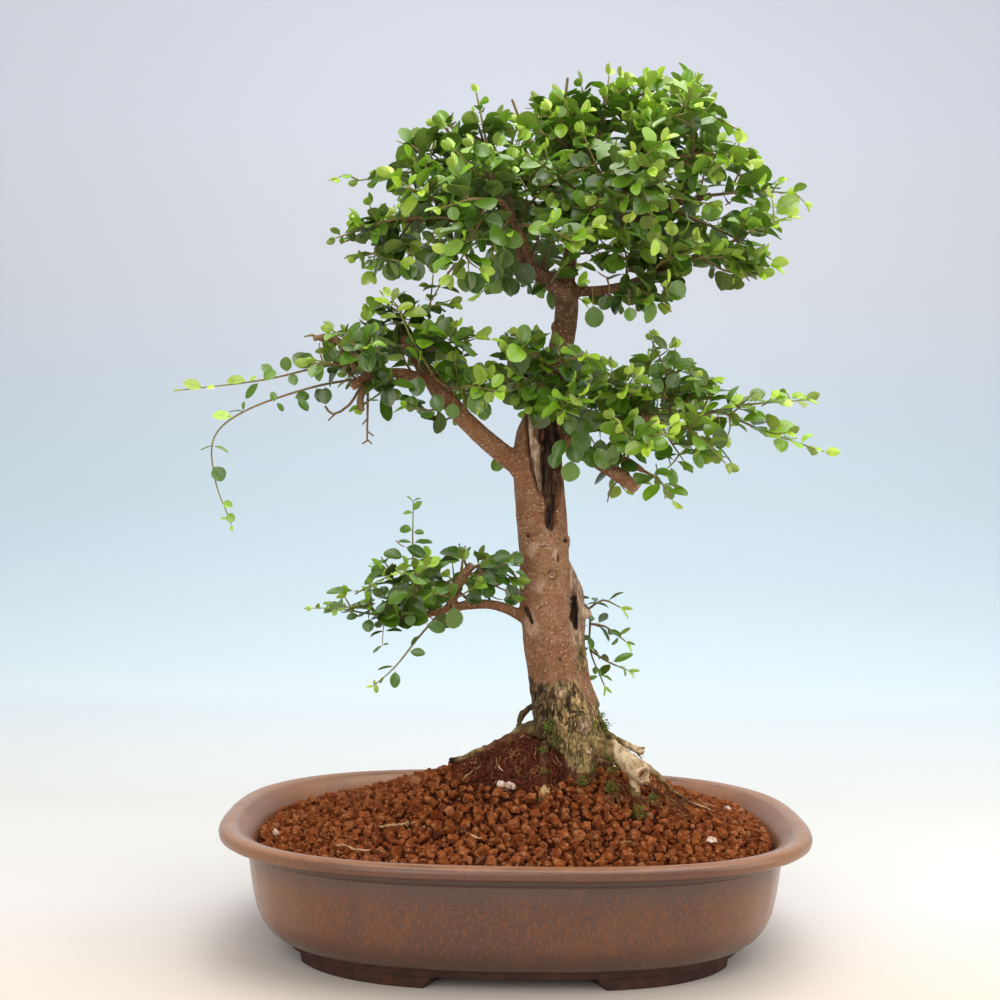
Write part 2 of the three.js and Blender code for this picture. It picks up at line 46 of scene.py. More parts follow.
# height, half length, half depth, from the foot ring up over the lip and down inside
pot_rings = [
    (7.3, 142.6, 105.4), (7.8, 143.6, 106.4), (11.4, 144.2, 107), (11.9, 144.6, 107.4),
    (12.4, 147, 109.4), (14.5, 151.4, 112.8), (18, 155.6, 116), (23, 159.2, 118.8),
    (30, 162.3, 121.1), (40, 164.5, 122.7), (50, 166, 123.9), (60, 167.3, 124.8),
    (64.6, 167.4, 125), (65.3, 168.6, 126), (66.4, 170.6, 127.8), (68, 171.6, 128.7),
    (69.6, 171.8, 128.9), (70.4, 173.4, 130.6), (71, 178, 135.2), (72, 182.6, 139.9),
    (73.6, 184.8, 142.2), (75.8, 185.2, 142.6), (77.8, 184.6, 142), (79.3, 182.8, 140.1),
    (80, 180.4, 137.6), (79.7, 177.6, 134.9), (78.4, 173.6, 131), (75.2, 168.6, 126.2),
    (70.5, 164.8, 122.4), (64, 162.2, 119.6), (50, 158.2, 116), (30, 152.8, 111),
    (20.6, 150.4, 108.4), (20, 148.6, 106.6),
]
pot_feet = {"height": 7.3, "ends": (0.5, 1.24), "splay": 0.04, "outer": (139.6, 104.6), "inner": (112, 83)}
foot_points, foot_wear = 16, 0.9
drain_hole_x, drain_hole_radius, drill_height, drill_length = 74, 12, 14, 40
# heights where the glaze stops outside, where the floor lies, and where the inside glaze ends
glaze_foot, underside, floor_top, lip_inside = 12.1, 20, 20.5, 79


def shade(red, green, blue):
    """A colour given as a paint chart does, from 0 to 255, as the shader takes it."""
    parts = (c / 255 for c in (red, green, blue))
    return (*[c / 12.92 if c <= 0.04045 else ((c + 0.055) / 1.055) ** 2.4 for c in parts], 1)


def new_finish(name, **sockets):
    """A new material whose surface has these settings."""
    finish = bpy.data.materials.new(name)
    finish.use_nodes = True
    for socket, value in sockets.items():
        finish.node_tree.nodes["Principled BSDF"].inputs[socket.replace("_", " ")].default_value = value
    return finish


def add(finish, kind, settings=None, **inputs):
    """A shader node of that kind, with its settings made and its inputs set or joined."""
    made = finish.node_tree.nodes.new("ShaderNode" + kind)
    for setting, value in (settings or {}).items():
        setattr(made, setting, value)
    for name, value in inputs.items():
        join_to(finish, made.inputs[name.replace("_", " ")], value)
    return made


def join_to(finish, socket, value):
    """Joins a node's output to a socket, or sets the socket to a plain value."""
    if isinstance(value, bpy.types.NodeSocket):
        finish.node_tree.links.new(value, socket)
    else:
        socket.default_value = value


def math_of(finish, operation, first, second=0.0):
    """One step of arithmetic on a pattern."""
    made = add(finish, "Math", {"operation": operation})
    join_to(finish, made.inputs[0], first)
    join_to(finish, made.inputs[1], second)
    return made.outputs[0]


def times(finish, first, second):
    """A pattern multiplied by another, or by a number."""
    return math_of(finish, "MULTIPLY", first, second)


def layer(finish, amount, under, over, way="MIX"):
    """One colour laid over another where amount is high."""
    made = add(finish, "Mix", {"data_type": "RGBA", "blend_type": way})
    for index, value in ((0, amount), (6, under), (7, over)):
        join_to(finish, made.inputs[index], value)
    return made.outputs[2]


def step_of(finish, value, low, high, start=0.0, end=1.0):
    """A soft step of a pattern, from start at low to end at high."""
    made = add(finish, "MapRange", {"interpolation_type": "SMOOTHSTEP"}, Value=value)
    for name, number in (("From Min", low), ("From Max", high), ("To Min", start), ("To Max", end)):
        made.inputs[name].default_value = number
    return made.outputs[0]


def cloud(finish, scale, upright=1.0, detail=4.0, roughness=0.55):
    """A cloudy pattern fixed to the object: scale is how many clouds go in a metre, upright how
    many more go in a metre of height, so that a small number draws them out into streaks."""
    place = add(finish, "Mapping", Vector=add(finish, "TexCoord").outputs["Object"], Scale=(1, 1, upright))
    return add(finish, "TexNoise", Vector=place.outputs[0], Scale=scale, Detail=detail,
               Roughness=roughness).outputs["Fac"]


def coats(finish, colour, *blotches):
    """Blotches laid over a colour, one coat after another. Each has a tone, a cloud's scale, upright,
    detail and roughness, where in the cloud it begins and is full, and how much it covers."""
    for tone, scale, upright, detail, roughness, low, high, amount in blotches:
        patches = cloud(finish, scale, upright, detail, roughness)
        colour = layer(finish, step_of(finish, patches, low, high, 0, amount), colour, shade(*tone))
    return colour


def height_of(finish, axis="Z"):
    """How high, or how far along another axis, a point of the object is."""
    place = add(finish, "TexCoord").outputs["Object"]
    return add(finish, "SeparateXYZ", Vector=place).outputs[axis]


def surface(finish, colour, roughness=None, relief=None, strength=0.3, distance=0.001):
    """Joins the colour, roughness and fine relief of a finish to its surface."""
    shader = finish.node_tree.nodes["Principled BSDF"]
    join_to(finish, shader.inputs["Base Color"], colour)
    if roughness is not None:
        join_to(finish, shader.inputs["Roughness"], roughness)
    if relief is not None:
        bump = add(finish, "Bump", Strength=strength, Distance=distance, Height=relief)
        join_to(finish, shader.inputs["Normal"], bump.outputs["Normal"])


def blotched_finish(name, tone, blotches, relief, strength, distance, **sockets):
    """A finish of one tone with blotches over it and a cloudy relief."""
    finish = new_finish(name, **sockets)
    surface(finish, coats(finish, shade(*tone), *blotches), None, cloud(finish, *relief), strength, distance)
    return finish


def oval(z, half_length, half_depth, angles):
    """Points of the pot's rounded oval at one height, in metres."""
    points = []
    for angle in angles:
        c, s = math.cos(angle), math.sin(angle)
        reach = (abs(c) ** pot_squareness + abs(s) ** pot_squareness) ** (-1 / pot_squareness)
        points.append((half_length * c * reach * mm, half_depth * s * reach * mm, z * mm))
    return points


def alone(piece):
    """Selects one object and nothing else, and makes it the active one."""
    bpy.ops.object.select_all(action="DESELECT")
    piece.select_set(True)
    bpy.context.view_layer.objects.active = piece


def mesh_piece(name, points, faces):
    """A new object from points and faces."""
    made = bpy.data.meshes.new(name)
    made.from_pydata([tuple(p) for p in points], [], faces)
    piece = bpy.data.objects.new(name, made)
    bpy.context.scene.collection.objects.link(piece)
    return piece


def face_outwards(piece):
    """Turns every face of a closed piece outwards."""
    alone(piece)
    bpy.ops.object.mode_set(mode="EDIT")
    bpy.ops.mesh.select_all(action="SELECT")
    bpy.ops.mesh.normals_make_consistent(inside=False)
    bpy.ops.object.mode_set(mode="OBJECT")


def apply_all(piece):
    """Applies each modifier of a piece in turn."""
    alone(piece)
    for modifier in list(piece.modifiers):
        bpy.ops.object.modifier_apply(modifier=modifier.name)


def join_pieces(pieces):
    """Joins pieces into the first of them."""
    alone(pieces[0])
    for piece in pieces[1:]:
        piece.select_set(True)
    bpy.ops.object.join()
    return pieces[0]


def place_piece(piece, slot_name, *nodes):
    """Fixes a finished piece to the part, in the place of its plain solids."""
    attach(piece, "root")
    if nodes:
        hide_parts(*nodes)


full_turn = [2 * math.pi * i / pot_points_round for i in range(pot_points_round)]
pot = mesh_piece("pot_oval", oval(*pot_rings[0], full_turn), [tuple(range(pot_points_round - 1, -1, -1))])
alone(pot)
bpy.ops.object.mode_set(mode="EDIT")
bpy.ops.mesh.select_all(action="SELECT")
for (z, length, depth), (next_z, next_length, next_depth) in zip(pot_rings, pot_rings[1:]):
    bpy.ops.mesh.extrude_region_move(TRANSFORM_OT_translate={"value": (0, 0, (next_z - z) * mm)})
    bpy.ops.transform.resize(
        value=(next_length / length, next_depth / depth, 1), center_override=(0, 0, next_z * mm))
bpy.ops.object.mode_set(mode="OBJECT")
face_outwards(pot)

cutters = []
span = pot_feet["ends"][1] - pot_feet["ends"][0]
for corner in range(4):
    start = corner * math.pi / 2 + (math.pi / 2 - pot_feet["ends"][1] if corner % 2 else pot_feet["ends"][0])
    rings = []
    for z, splay in ((0, pot_feet["splay"]), (pot_feet["height"] + 1, 0)):
        angles = [start + splay + (span - 2 * splay) * i / (foot_points - 1) for i in range(foot_points)]
        rings.append(oval(z, *pot_feet["outer"], angles) + oval(z, *pot_feet["inner"], angles[::-1]))
    count = len(rings[0])
    sides = [(i, (i + 1) % count, (i + 1) % count + count, i + count) for i in range(count)]
    foot = mesh_piece(f"foot_{corner}", rings[0] + rings[1], [
        *sides, tuple(range(count - 1, -1, -1)), tuple(range(count, 2 * count))])
    bevel = foot.modifiers.new("worn edges", "BEVEL")
    bevel.width, bevel.segments, bevel.limit_method, bevel.angle_limit = foot_wear * mm, 3, "ANGLE", 0.7
    apply_all(foot)
    cutters.append(foot)
for foot in cutters:
    union = pot.modifiers.new("foot", "BOOLEAN")
    union.operation, union.solver, union.object = "UNION", "EXACT", foot
for x in (-drain_hole_x, drain_hole_x):
    bpy.ops.mesh.primitive_cylinder_add(vertices=40, radius=drain_hole_radius * mm, depth=drill_length * mm,
                                        location=(x * mm, 0, drill_height * mm))
    drill = bpy.context.object
    cutters.append(drill)
    cut = pot.modifiers.new("drain hole", "BOOLEAN")
    cut.operation, cut.solver, cut.object = "DIFFERENCE", "EXACT", drill
apply_all(pot)
for used in cutters:
    bpy.data.objects.remove(used)
alone(pot)
bpy.ops.object.shade_smooth_by_angle(angle=math.radians(42))

# clouds of the glaze, each as scale, upright, detail and roughness; heights in metres
streaks, mottle = (60, 0.35, 6, 0.62), (520, 0.55, 6, 0.68)
glaze = new_finish("satin_iron_glaze", Roughness=0.34, Coat_Weight=0.24, Coat_Roughness=0.18)
body = coats(glaze, shade(90, 53, 34),
             ((104, 61, 32), 14, 1.4, 3, 0.5, 0.38, 0.62, 1),
             ((76, 51, 42), *streaks, 0.45, 0.68, 0.5),
             ((130, 76, 40), *mottle, 0.49, 0.6, 0.5),
             ((62, 53, 56), 760, 0.5, 4, 0.6, 0.53, 0.62, 0.62),
             ((106, 94, 100), 980, 0.8, 2, 0.5, 0.63, 0.69, 0.45))
pot_height = height_of(glaze)
# painted light: the glaze is painted paler towards both ends, where light falls on the pot's sides; it is
# darker low on the wall, and painted shade darkens it under the lip
ends = step_of(glaze, math_of(glaze, "ABSOLUTE", height_of(glaze, "X")), 0.1, 0.168, 0, 0.6)
body = layer(glaze, ends, body, shade(160, 110, 74))
for low, high, amount, tone in ((0.034, 0.014, 0.6, (56, 40, 34)), (0.05, 0.062, 0.4, (84, 72, 74))):
    body = layer(glaze, step_of(glaze, pot_height, low, high, 0, amount), body, shade(*tone))
lip_glaze = coats(glaze, shade(98, 58, 36),
                  ((64, 49, 46), 520, 0.3, 4, 0.6, 0.54, 0.68, 0.75),
                  ((124, 72, 38), *mottle, 0.5, 0.64, 0.5))
lip = times(glaze, step_of(glaze, pot_height, 0.0705, 0.0725), 0.85)
body = layer(glaze, lip, body, lip_glaze)
# a paler band painted along the top of the lip as its highlight
ragged_height = math_of(glaze, "ADD", pot_height, times(glaze, cloud(glaze, *streaks), 0.003))
body = layer(glaze, step_of(glaze, ragged_height, 0.0794, 0.0812, 0, 0.75), body, shade(156, 106, 72))
# painted highlight: the lip is painted paler still at both ends, for the reflection of the bright room there
body = layer(glaze, times(glaze, times(glaze, ends, lip), 0.7), body, shade(188, 140, 100))
# painted shade: a darker band painted under the overhang of the lip
painted_shade_under_lip = times(glaze, step_of(glaze, pot_height, 0.0645, 0.066),
                  step_of(glaze, pot_height, 0.0725, 0.0705))
body = layer(glaze, times(glaze, painted_shade_under_lip, 0.7), body, shade(58, 42, 36))
surface(glaze, body, step_of(glaze, cloud(glaze, *streaks), 0.3, 0.7, 0.26, 0.44),
        cloud(glaze, 220, 1, 7), 0.14, 0.0008)
inside_glaze = blotched_finish(
    "inside_glaze", (132, 88, 60),
    (((150, 102, 68), 24, 1, 4, 0.55, 0.35, 0.65, 1), ((70, 54, 50), 700, 1, 2, 0.55, 0.66, 0.74, 0.8)),
    (160, 1, 5), 0.1, 0.0008, Roughness=0.42, Coat_Weight=0.15, Coat_Roughness=0.3)
bare_clay = blotched_finish(
    "bare_fired_clay", (54, 27, 18), (((78, 44, 30), 90, 1, 6, 0.55, 0.35, 0.7, 1),),
    (600, 1, 8), 0.35, 0.0006, Roughness=0.8)
for finish in (glaze, inside_glaze, bare_clay):
    pot.data.materials.append(finish)
for face in pot.data.polygons:
    middle = face.center
    inward = face.normal.x * middle.x + face.normal.y * middle.y < 0
    if middle.z < glaze_foot * mm or face.normal.z < -0.9 and middle.z < underside * mm:
        face.material_index = 2
    elif inward and middle.z < lip_inside * mm or middle.z < floor_top * mm and face.normal.z > 0.5:
        face.material_index = 1
    else:
        face.material_index = 0
place_piece(pot, "pot_glaze", "pot")

# Drain screens: two squares of moulded plastic mesh laid over the drain holes before the
# soil goes in, so that the granules stay in and the water runs out.
screen_size, screen_bar, screen_bars, screen_thickness, screen_height = 40, 0.9, 17, 0.9, 20.75
screen_plastic = blotched_finish(
    "black_screen_plastic", (24, 27, 25), (((38, 41, 38), 300, 1, 4, 0.55, 0.4, 0.6, 1),),
    (900,), 0.15, 0.0003, Roughness=0.55)
for side, x in (("left", -drain_hole_x), ("right", drain_hole_x)):
    bars = []
    for i in range(screen_bars):
        across = (i / (screen_bars - 1) - 0.5) * (screen_size - screen_bar) * mm
        for place, turn in (((x * mm + across, 0), (screen_bar, screen_size)),
                            ((x * mm, across), (screen_size, screen_bar))):
            bpy.ops.mesh.primitive_cube_add(size=1, location=(*place, screen_height * mm))
            bpy.ops.transform.resize(value=(turn[0] * mm, turn[1] * mm, screen_thickness * mm))
            bpy.ops.object.transform_apply(location=True, rotation=False, scale=True)
            bars.append(bpy.context.object)
    screen = join_pieces(bars)
    screen.name = f"drain_mesh_{side}"
    edges = screen.modifiers.new("soft edges", "BEVEL")
    edges.width, edges.segments = 0.12 * mm, 1
    apply_all(screen)
    screen.data.materials.append(screen_plastic)
    place_piece(screen, "screen_plastic", f"drain_screen_{side}")

# Soil: baked clay granules of three to eleven millimetres, poured round a fibrous root ball and
# heaped up to the trunk. Loose granules lie on a bed of the same clay; over the root ball the
# bed itself shows, as fine red-brown crumbs.
soil_rim = 69.5
soil_mound = {"x": 12, "height": 38.5, "reach_x": 116, "reach_y": 92, "squareness": (3.5, 2)}
root_ball = {"x": 3, "y": -8, "height": 20, "reach_x": 34, "reach_y": 27}
bare_ball = {"x": 0, "y": -17, "reach_x": 33, "reach_y": 27}
soil_edge_length, soil_edge_depth = 162.6, 120.2
bed_rings, bed_round, bed_depth = 72, 180, 4.6
# radius from and to, and share of the tries, from the largest granules to the smallest
top_sizes = ((4.2, 5.2, 0.25), (3.1, 4.3, 2), (2.2, 3.1, 2.8), (1.4, 2.1, 3.2))
low_sizes = ((3.2, 4.2, 1), (2.3, 3.0, 1))
crumb_count = 1500


def over_ball(x, y):
    """How near a point lies to the bare root ball's middle: under 1 it is on the ball."""
    return math.hypot((x - bare_ball["x"]) / bare_ball["reach_x"],
                      (y - bare_ball["y"]) / bare_ball["reach_y"])


def soil_height(x, y):
    """Height of the soil over a point, all in millimetres."""
    far = (abs(x - soil_mound["x"]) / soil_mound["reach_x"]) ** soil_mound["squareness"][0] + (
        abs(y) / soil_mound["reach_y"]) ** soil_mound["squareness"][1]
    ball = ((x - root_ball["x"]) / root_ball["reach_x"]) ** 2 + (
        (y - root_ball["y"]) / root_ball["reach_y"]) ** 2
    height = soil_rim + soil_mound["height"] * math.exp(-far) + root_ball["height"] * math.exp(-ball)
    bare = min(max((1.12 - over_ball(x, y)) / 0.3, 0), 1)
    lumps = 2.6 * noise.noise(Vector((x * 0.11, y * 0.11, 3)))
    lumps += 1.8 * noise.noise(Vector((x * 0.26, y * 0.26, 8)))
    return height + bare * lumps


def share_of_pot(x, y):
    """How far out in the pot a point lies: 0 at the middle, 1 at the soil's edge."""
    return ((abs(x) / soil_edge_length) ** pot_squareness + (abs(y) / soil_edge_depth) ** pot_squareness) ** (
        1 / pot_squareness)


draw = random.Random(11)
bed_angles = [2 * math.pi * i / bed_round for i in range(bed_round)]
bed_points, bed_faces = [], []
for ring in range(bed_rings + 1):
    share = max(ring / bed_rings, 0.004)
    for x, y, _ in oval(0, soil_edge_length * share, soil_edge_depth * share, bed_angles):
        on_ball = min(max((1.12 - over_ball(x / mm, y / mm)) / 0.24, 0), 1)
        lump = noise.fractal(Vector((x, y, 0)) * 230, 0.8, 2.1, 3) * (1.3 + 1.7 * on_ball)
        bed_points.append((x, y, (soil_height(x / mm, y / mm) - bed_depth * (1 - on_ball) + lump) * mm))
for z, length, depth in ((60, 160.6, 118.2), (40, 154.9, 112.8), (20.4, 149.4, 107.4)):
    bed_points += oval(z, length, depth, bed_angles)
rows = len(bed_points) // bed_round
for ring in range(rows - 1):
    for i in range(bed_round):
        a, b = ring * bed_round + i, ring * bed_round + (i + 1) % bed_round
        bed_faces.append((a, a + bed_round, b + bed_round, b))
bed_faces += [tuple(range(bed_round)), tuple(range(rows * bed_round - 1, (rows - 1) * bed_round - 1, -1))]
bed = mesh_piece("soil_bed", bed_points, bed_faces)
face_outwards(bed)
bpy.ops.object.shade_smooth()
# painted shade: the bed's near-black ground shows where its crumbs' relief is low, as the shade in the gaps
# between them
bed_crumbs = (900, 1, 8, 0.75)
bed.data.materials.append(blotched_finish(
    "crumbled_clay_bed", (18, 6, 3),
    (((138, 66, 38), *bed_crumbs, 0.42, 0.64, 1), ((82, 30, 16), 300, 1, 4, 0.55, 0.5, 0.68, 0.5)),
    bed_crumbs, 1.0, 0.003, Roughness=0.95, Specular_IOR_Level=0.2))
place_piece(bed, "soil", "soil")


def painted(finish, name):
    """A number painted on each point of the piece."""
    return add(finish, "Attribute", {"attribute_name": name}).outputs["Fac"]


def paint(piece, name, values):
    """Paints a number on each point of a piece."""
    coat = piece.data.attributes.new(name, "FLOAT", "POINT")
    coat.data.foreach_set("value", np.asarray(values, np.float32))


def run_of(finish, value, *tones):
    """A run of tones that a pattern picks from: each has its place from 0 to 1."""
    made = add(finish, "ValToRGB", Fac=value)
    stops = made.color_ramp.elements
    for stop, (position, tone) in ((stops[0], tones[0]), (stops[1], tones[-1])):
        stop.position, stop.color = position, shade(*tone)
    for position, tone in tones[1:-1]:
        stops.new(position).color = shade(*tone)
    return made.outputs["Color"]


# pits: one cloud sinks the granules' relief and paints them darker in the same hollows, as painted shade
pits = (480, 1, 8, 0.7)
baked_clay = new_finish("baked_clay_granules", Roughness=0.98, Specular_IOR_Level=0.08)
clay = run_of(baked_clay, painted(baked_clay, "grain"), (0, (84, 46, 34)), (0.08, (120, 54, 24)),
              (0.5, (160, 86, 44)), (0.85, (186, 104, 56)), (1, (196, 132, 92)))
clay = coats(baked_clay, clay,
             ((100, 44, 18), 1100, 1, 7, 0.72, 0.4, 0.6, 0.55),
             # pale patches, partly dust and partly a painted highlight
             ((216, 150, 102), 340, 1, 4, 0.55, 0.5, 0.66, 0.55),
             ((66, 26, 10), *pits, 0.46, 0.34, 0.75))
surface(baked_clay, clay, None, cloud(baked_clay, *pits), 1.0, 0.003)


def lump_shapes(count, seed, corners, unevenness):
    """Broken lumps as points and faces: each is the hull of a few corners."""
    chance = random.Random(seed)
    shapes = []
    for _ in range(count):
        spots = []
        for _ in range(corners):
            way = Vector((chance.gauss(0, 1), chance.gauss(0, 1), chance.gauss(0, 1))).normalized()
            spots.append(way * chance.uniform(1 - unevenness, 1 + 0.4 * unevenness))
        lump = mesh_piece("lump", [(s.x, s.y * 0.92, s.z * 0.8) for s in spots], [])
        alone(lump)
        bpy.ops.object.mode_set(mode="EDIT")
        bpy.ops.mesh.select_all(action="SELECT")
        bpy.ops.mesh.convex_hull()
        bpy.ops.mesh.select_all(action="SELECT")
        bpy.ops.mesh.quads_convert_to_tris()
        bpy.ops.mesh.normals_make_consistent(inside=False)
        bpy.ops.mesh.delete_loose()
        bpy.ops.object.mode_set(mode="OBJECT")
        points = np.array([v.co for v in lump.data.vertices])
        shapes.append((points, [tuple(f.vertices) for f in lump.data.polygons]))
        bpy.data.objects.remove(lump)
    return shapes


def turned(points, chance):
    """Points of a shape turned any way."""
    q = np.array([chance.gauss(0, 1) for _ in range(4)])
    w, x, y, z = q / np.linalg.norm(q)
    return points @ np.array([
        [1 - 2 * (y * y + z * z), 2 * (x * y - z * w), 2 * (x * z + y * w)],
        [2 * (x * y + z * w), 1 - 2 * (x * x + z * z), 2 * (y * z - x * w)],
        [2 * (x * z - y * w), 2 * (y * z + x * w), 1 - 2 * (x * x + y * y)],
    ])


def heap_piece(name, shapes, lumps, finish, chance, crease=44):
    """One piece with a copy of a shape for each lump: place, size and tone."""
    points, faces, tones, count = [], [], [], 0
    for place, size, tone in lumps:
        shape, shape_faces = chance.choice(shapes)
        points.append(turned(shape, chance) * size * mm + np.array(place) * mm)
        faces += [tuple(i + count for i in face) for face in shape_faces]
        tones += [tone] * len(shape)
        count += len(shape)
    piece = mesh_piece(name, np.concatenate(points), faces)
    paint(piece, "grain", tones)
    alone(piece)
    bpy.ops.object.shade_smooth_by_angle(angle=math.radians(crease))
    piece.data.materials.append(finish)
    return piece


def scattered(chance, wanted, tries, closeness):
    """Places over the soil with a size each, large ones first, none nearer than they can lie."""
    cell, taken, found = 9.5, {}, []
    for low, high, share in wanted:
        for _ in range(int(tries * share)):
            x, y = chance.uniform(-164, 164), chance.uniform(-122, 122)
            size = chance.uniform(low, high)
            if share_of_pot(x, y) > 1 - 0.006 * size or over_ball(x, y) < 1 + 0.015 * size:
                continue
            home = (int(x // cell), int(y // cell))
            near = (other for i in (-1, 0, 1) for j in (-1, 0, 1)
                    for other in taken.get((home[0] + i, home[1] + j), []))
            if all((x - ox) ** 2 + (y - oy) ** 2 > (closeness * (size + other_size)) ** 2
                   for ox, oy, other_size in near):
                taken.setdefault(home, []).append((x, y, size))
                found.append((x, y, size))
    return found


granule_shapes = lump_shapes(24, 5, 22, 0.3)
top_granules = scattered(draw, top_sizes, 8000, 0.76)
low_granules = scattered(draw, low_sizes, 5200, 0.85)
lumps = []
for sunk, spread, places in ((0.15, 1.3, top_granules), (1.2, 0.8, low_granules)):
    for x, y, size in places:
        height = soil_height(x, y) - sunk * size - 1.4 + draw.uniform(-spread, spread)
        tone = min(max(draw.gauss(0.5, 0.2), 0.08), 0.9)
        if draw.random() < 0.04:
            tone = draw.choice((0, 0.02, 0.96, 1))
        lumps.append(((x, y, height), size, tone))
for _ in range(crumb_count):
    x, y = draw.uniform(-160, 160), draw.uniform(-118, 118)
    if share_of_pot(x, y) < 0.985:
        tone = min(max(draw.gauss(0.45, 0.2), 0.08), 0.9)
        lumps.append(((x, y, soil_height(x, y) + draw.uniform(-2.4, 0.6)), draw.uniform(0.7, 1.4), tone))
lumps.sort(key=lambda lump: lump[0][0])
third = len(lumps) // 3 + 1
for i, part in enumerate(("left", "middle", "right")):
    heap = heap_piece(f"granules_{part}", granule_shapes, lumps[i * third:(i + 1) * third], baked_clay, draw)
    place_piece(heap, "soil")

# Trunk: one living piece of privet wood, with its leader, pruned limbs, old wounds and surface
# roots. It has grown here for years, so everything on it runs into everything else.
# height, centre x, centre y, half width, half depth, and how far the ribs at its foot stand out
trunk_sections = [
    (84, 38, 3, 17, 15, 0.05), (100, 37.5, 2, 18.5, 16.5, 0.06), (112, 37, 1, 19.5, 18, 0.06),
    (124, 36, 0, 21, 19, 0.06), (134, 34.5, -1.5, 22, 20, 0.05), (148, 31, -2, 20.8, 19, 0.04),
    (164, 26.6, -1, 18.9, 17.5, 0.03), (184, 21.2, 0, 16.9, 16, 0.01), (212, 17.4, 0, 16.1, 15, 0),
    (250, 16.4, 0, 16.0, 14.5, 0), (285, 13.2, 0, 16.4, 15, 0), (308, 11.4, 0, 16, 15, 0),
    (326, 11.8, 0, 14.4, 13.6, 0), (338, 14.6, 0, 11, 10.5, 0),
]
ribs_round = 7
# radius where it leaves, radius at its end, and its route
limbs = [
    (8.6, 7.2, [(16, 0, 326), (21, 0, 358), (26, 0, 381), (29, 0, 404), (28, 0, 421)]),
    (2.6, 8.4, [(27, 2, 250), (29.8, 3, 240), (35.6, 3, 228), (38, 4, 212), (37.2, 5, 192), (39.4, 4, 168),
                (46, 3, 146)]),
    (7, 4.2, [(6, 0, 298), (-9, -5, 309), (-30, -13, 326), (-50, -18, 348), (-62, -20, 364),
              (-75, -20, 383)]),
    (3.4, 2.6, [(-56, -19, 355), (-79, -30, 359), (-93, -36, 357), (-105, -40, 349)]),
    (2.6, 1.8, [(-91, -35, 357), (-103, -38, 366), (-111, -38, 376), (-126, -38, 379)]),
    (6, 4.2, [(22, 5, 322), (42, 0, 312), (58, -8, 301), (75, -14, 289)]),
    (3, 2, [(50, -4, 307), (67, -10, 307), (79, -14, 300)]),
    (5, 1.8, [(20, 8, 325), (53, 15, 331), (79, 20, 335), (122, 25, 339)]),
    (3.8, 2, [(10, 4, 201), (-13, -10, 213), (-30, -18, 214), (-60, -28, 207)]),
    (3, 2.5, [(-43, -22, 213), (-36, -22, 230), (-29, -22, 240)]),
    (3, 1.8, [(18, 0, 341), (22, -24, 350), (24, -46, 357)]),
    (3, 1.8, [(19, 0, 346), (8, 40, 354), (2, 64, 360)]),
    (5.6, 3.4, [(28, 0, 415), (14, -6, 423), (2, -12, 433), (-4, -16, 449)]),
    (5.4, 1.8, [(28, 0, 417), (32, 8, 444), (39, 14, 471), (44, 16, 501), (50, 14, 524)]),
    (3.4, 1.8, [(28, 0, 416), (45, -8, 415), (65, -14, 418), (84, -20, 426), (126, -33, 441)]),
    (2.8, 1.8, [(-3, -15, 446), (-25, -20, 455), (-55, -22, 457), (-80, -24, 455)]),
    (2.6, 1.8, [(-2, -13, 443), (-18, 12, 460), (-36, 38, 474), (-50, 60, 482)]),
    (2.8, 1.8, [(-4, -16, 445), (-9, -14, 470), (-22, -14, 486), (-42, -18, 494)]),
    (2.2, 1.8, [(-9, -14, 468), (-17, -5, 492), (-26, 2, 512)]),
    (2.6, 1.8, [(8, -9, 427), (0, -38, 440), (-14, -82, 456)]),
    (2.6, 1.8, [(40, 14, 478), (62, 8, 500), (96, 4, 528)]),
    (2.8, 1.8, [(34, 10, 454), (62, 6, 464), (122, 4, 480)]),
    (2.4, 1.8, [(37, 13, 464), (54, 44, 478), (68, 70, 486)]),
    (2, 1.8, [(44, 16, 496), (34, 42, 508), (24, 64, 514)]),
    (2.6, 1.8, [(33, 8, 446), (40, -22, 462), (52, -76, 474)]),
    (2.6, 1.8, [(28, 2, 423), (14, 38, 434), (4, 70, 440)]),
    (2.2, 1.8, [(43, 15, 490), (72, -22, 494), (94, -48, 492)]),
]
root_left = [(14, -2, 133), (8, -4, 132), (0, -8, 128.5), (-7, -10, 125.4), (-15.5, -12, 121.6),
             (-25, -13, 118.4), (-34, -14, 115.6), (-42.5, -14, 114.4)]
root_cut = [(42, -14, 126), (50, -20, 126), (58, -27, 125), (65, -34, 122), (71, -41, 118),
            (76, -46.5, 114.2)]
root_leg = [(70.5, -42, 117), (72.4, -44, 109), (73.6, -45, 101), (74.3, -46, 90)]
root_thin = [(74, -43, 120), (79.5, -42, 118.2), (84, -38, 114), (90, -35, 108.6), (99, -28, 99.5),
             (107, -23, 93.5), (114, -20, 88)]
root_upper = [(46, 0, 133), (56.5, -4, 131), (63, -7, 128.5), (72, -10, 124.6), (81.5, -11, 120.4)]
front_foot = [(35, -5, 152), (39, -12, 141), (40.5, -18, 130), (40.5, -20.5, 117), (40, -20.5, 104),
              (40, -18, 90)]
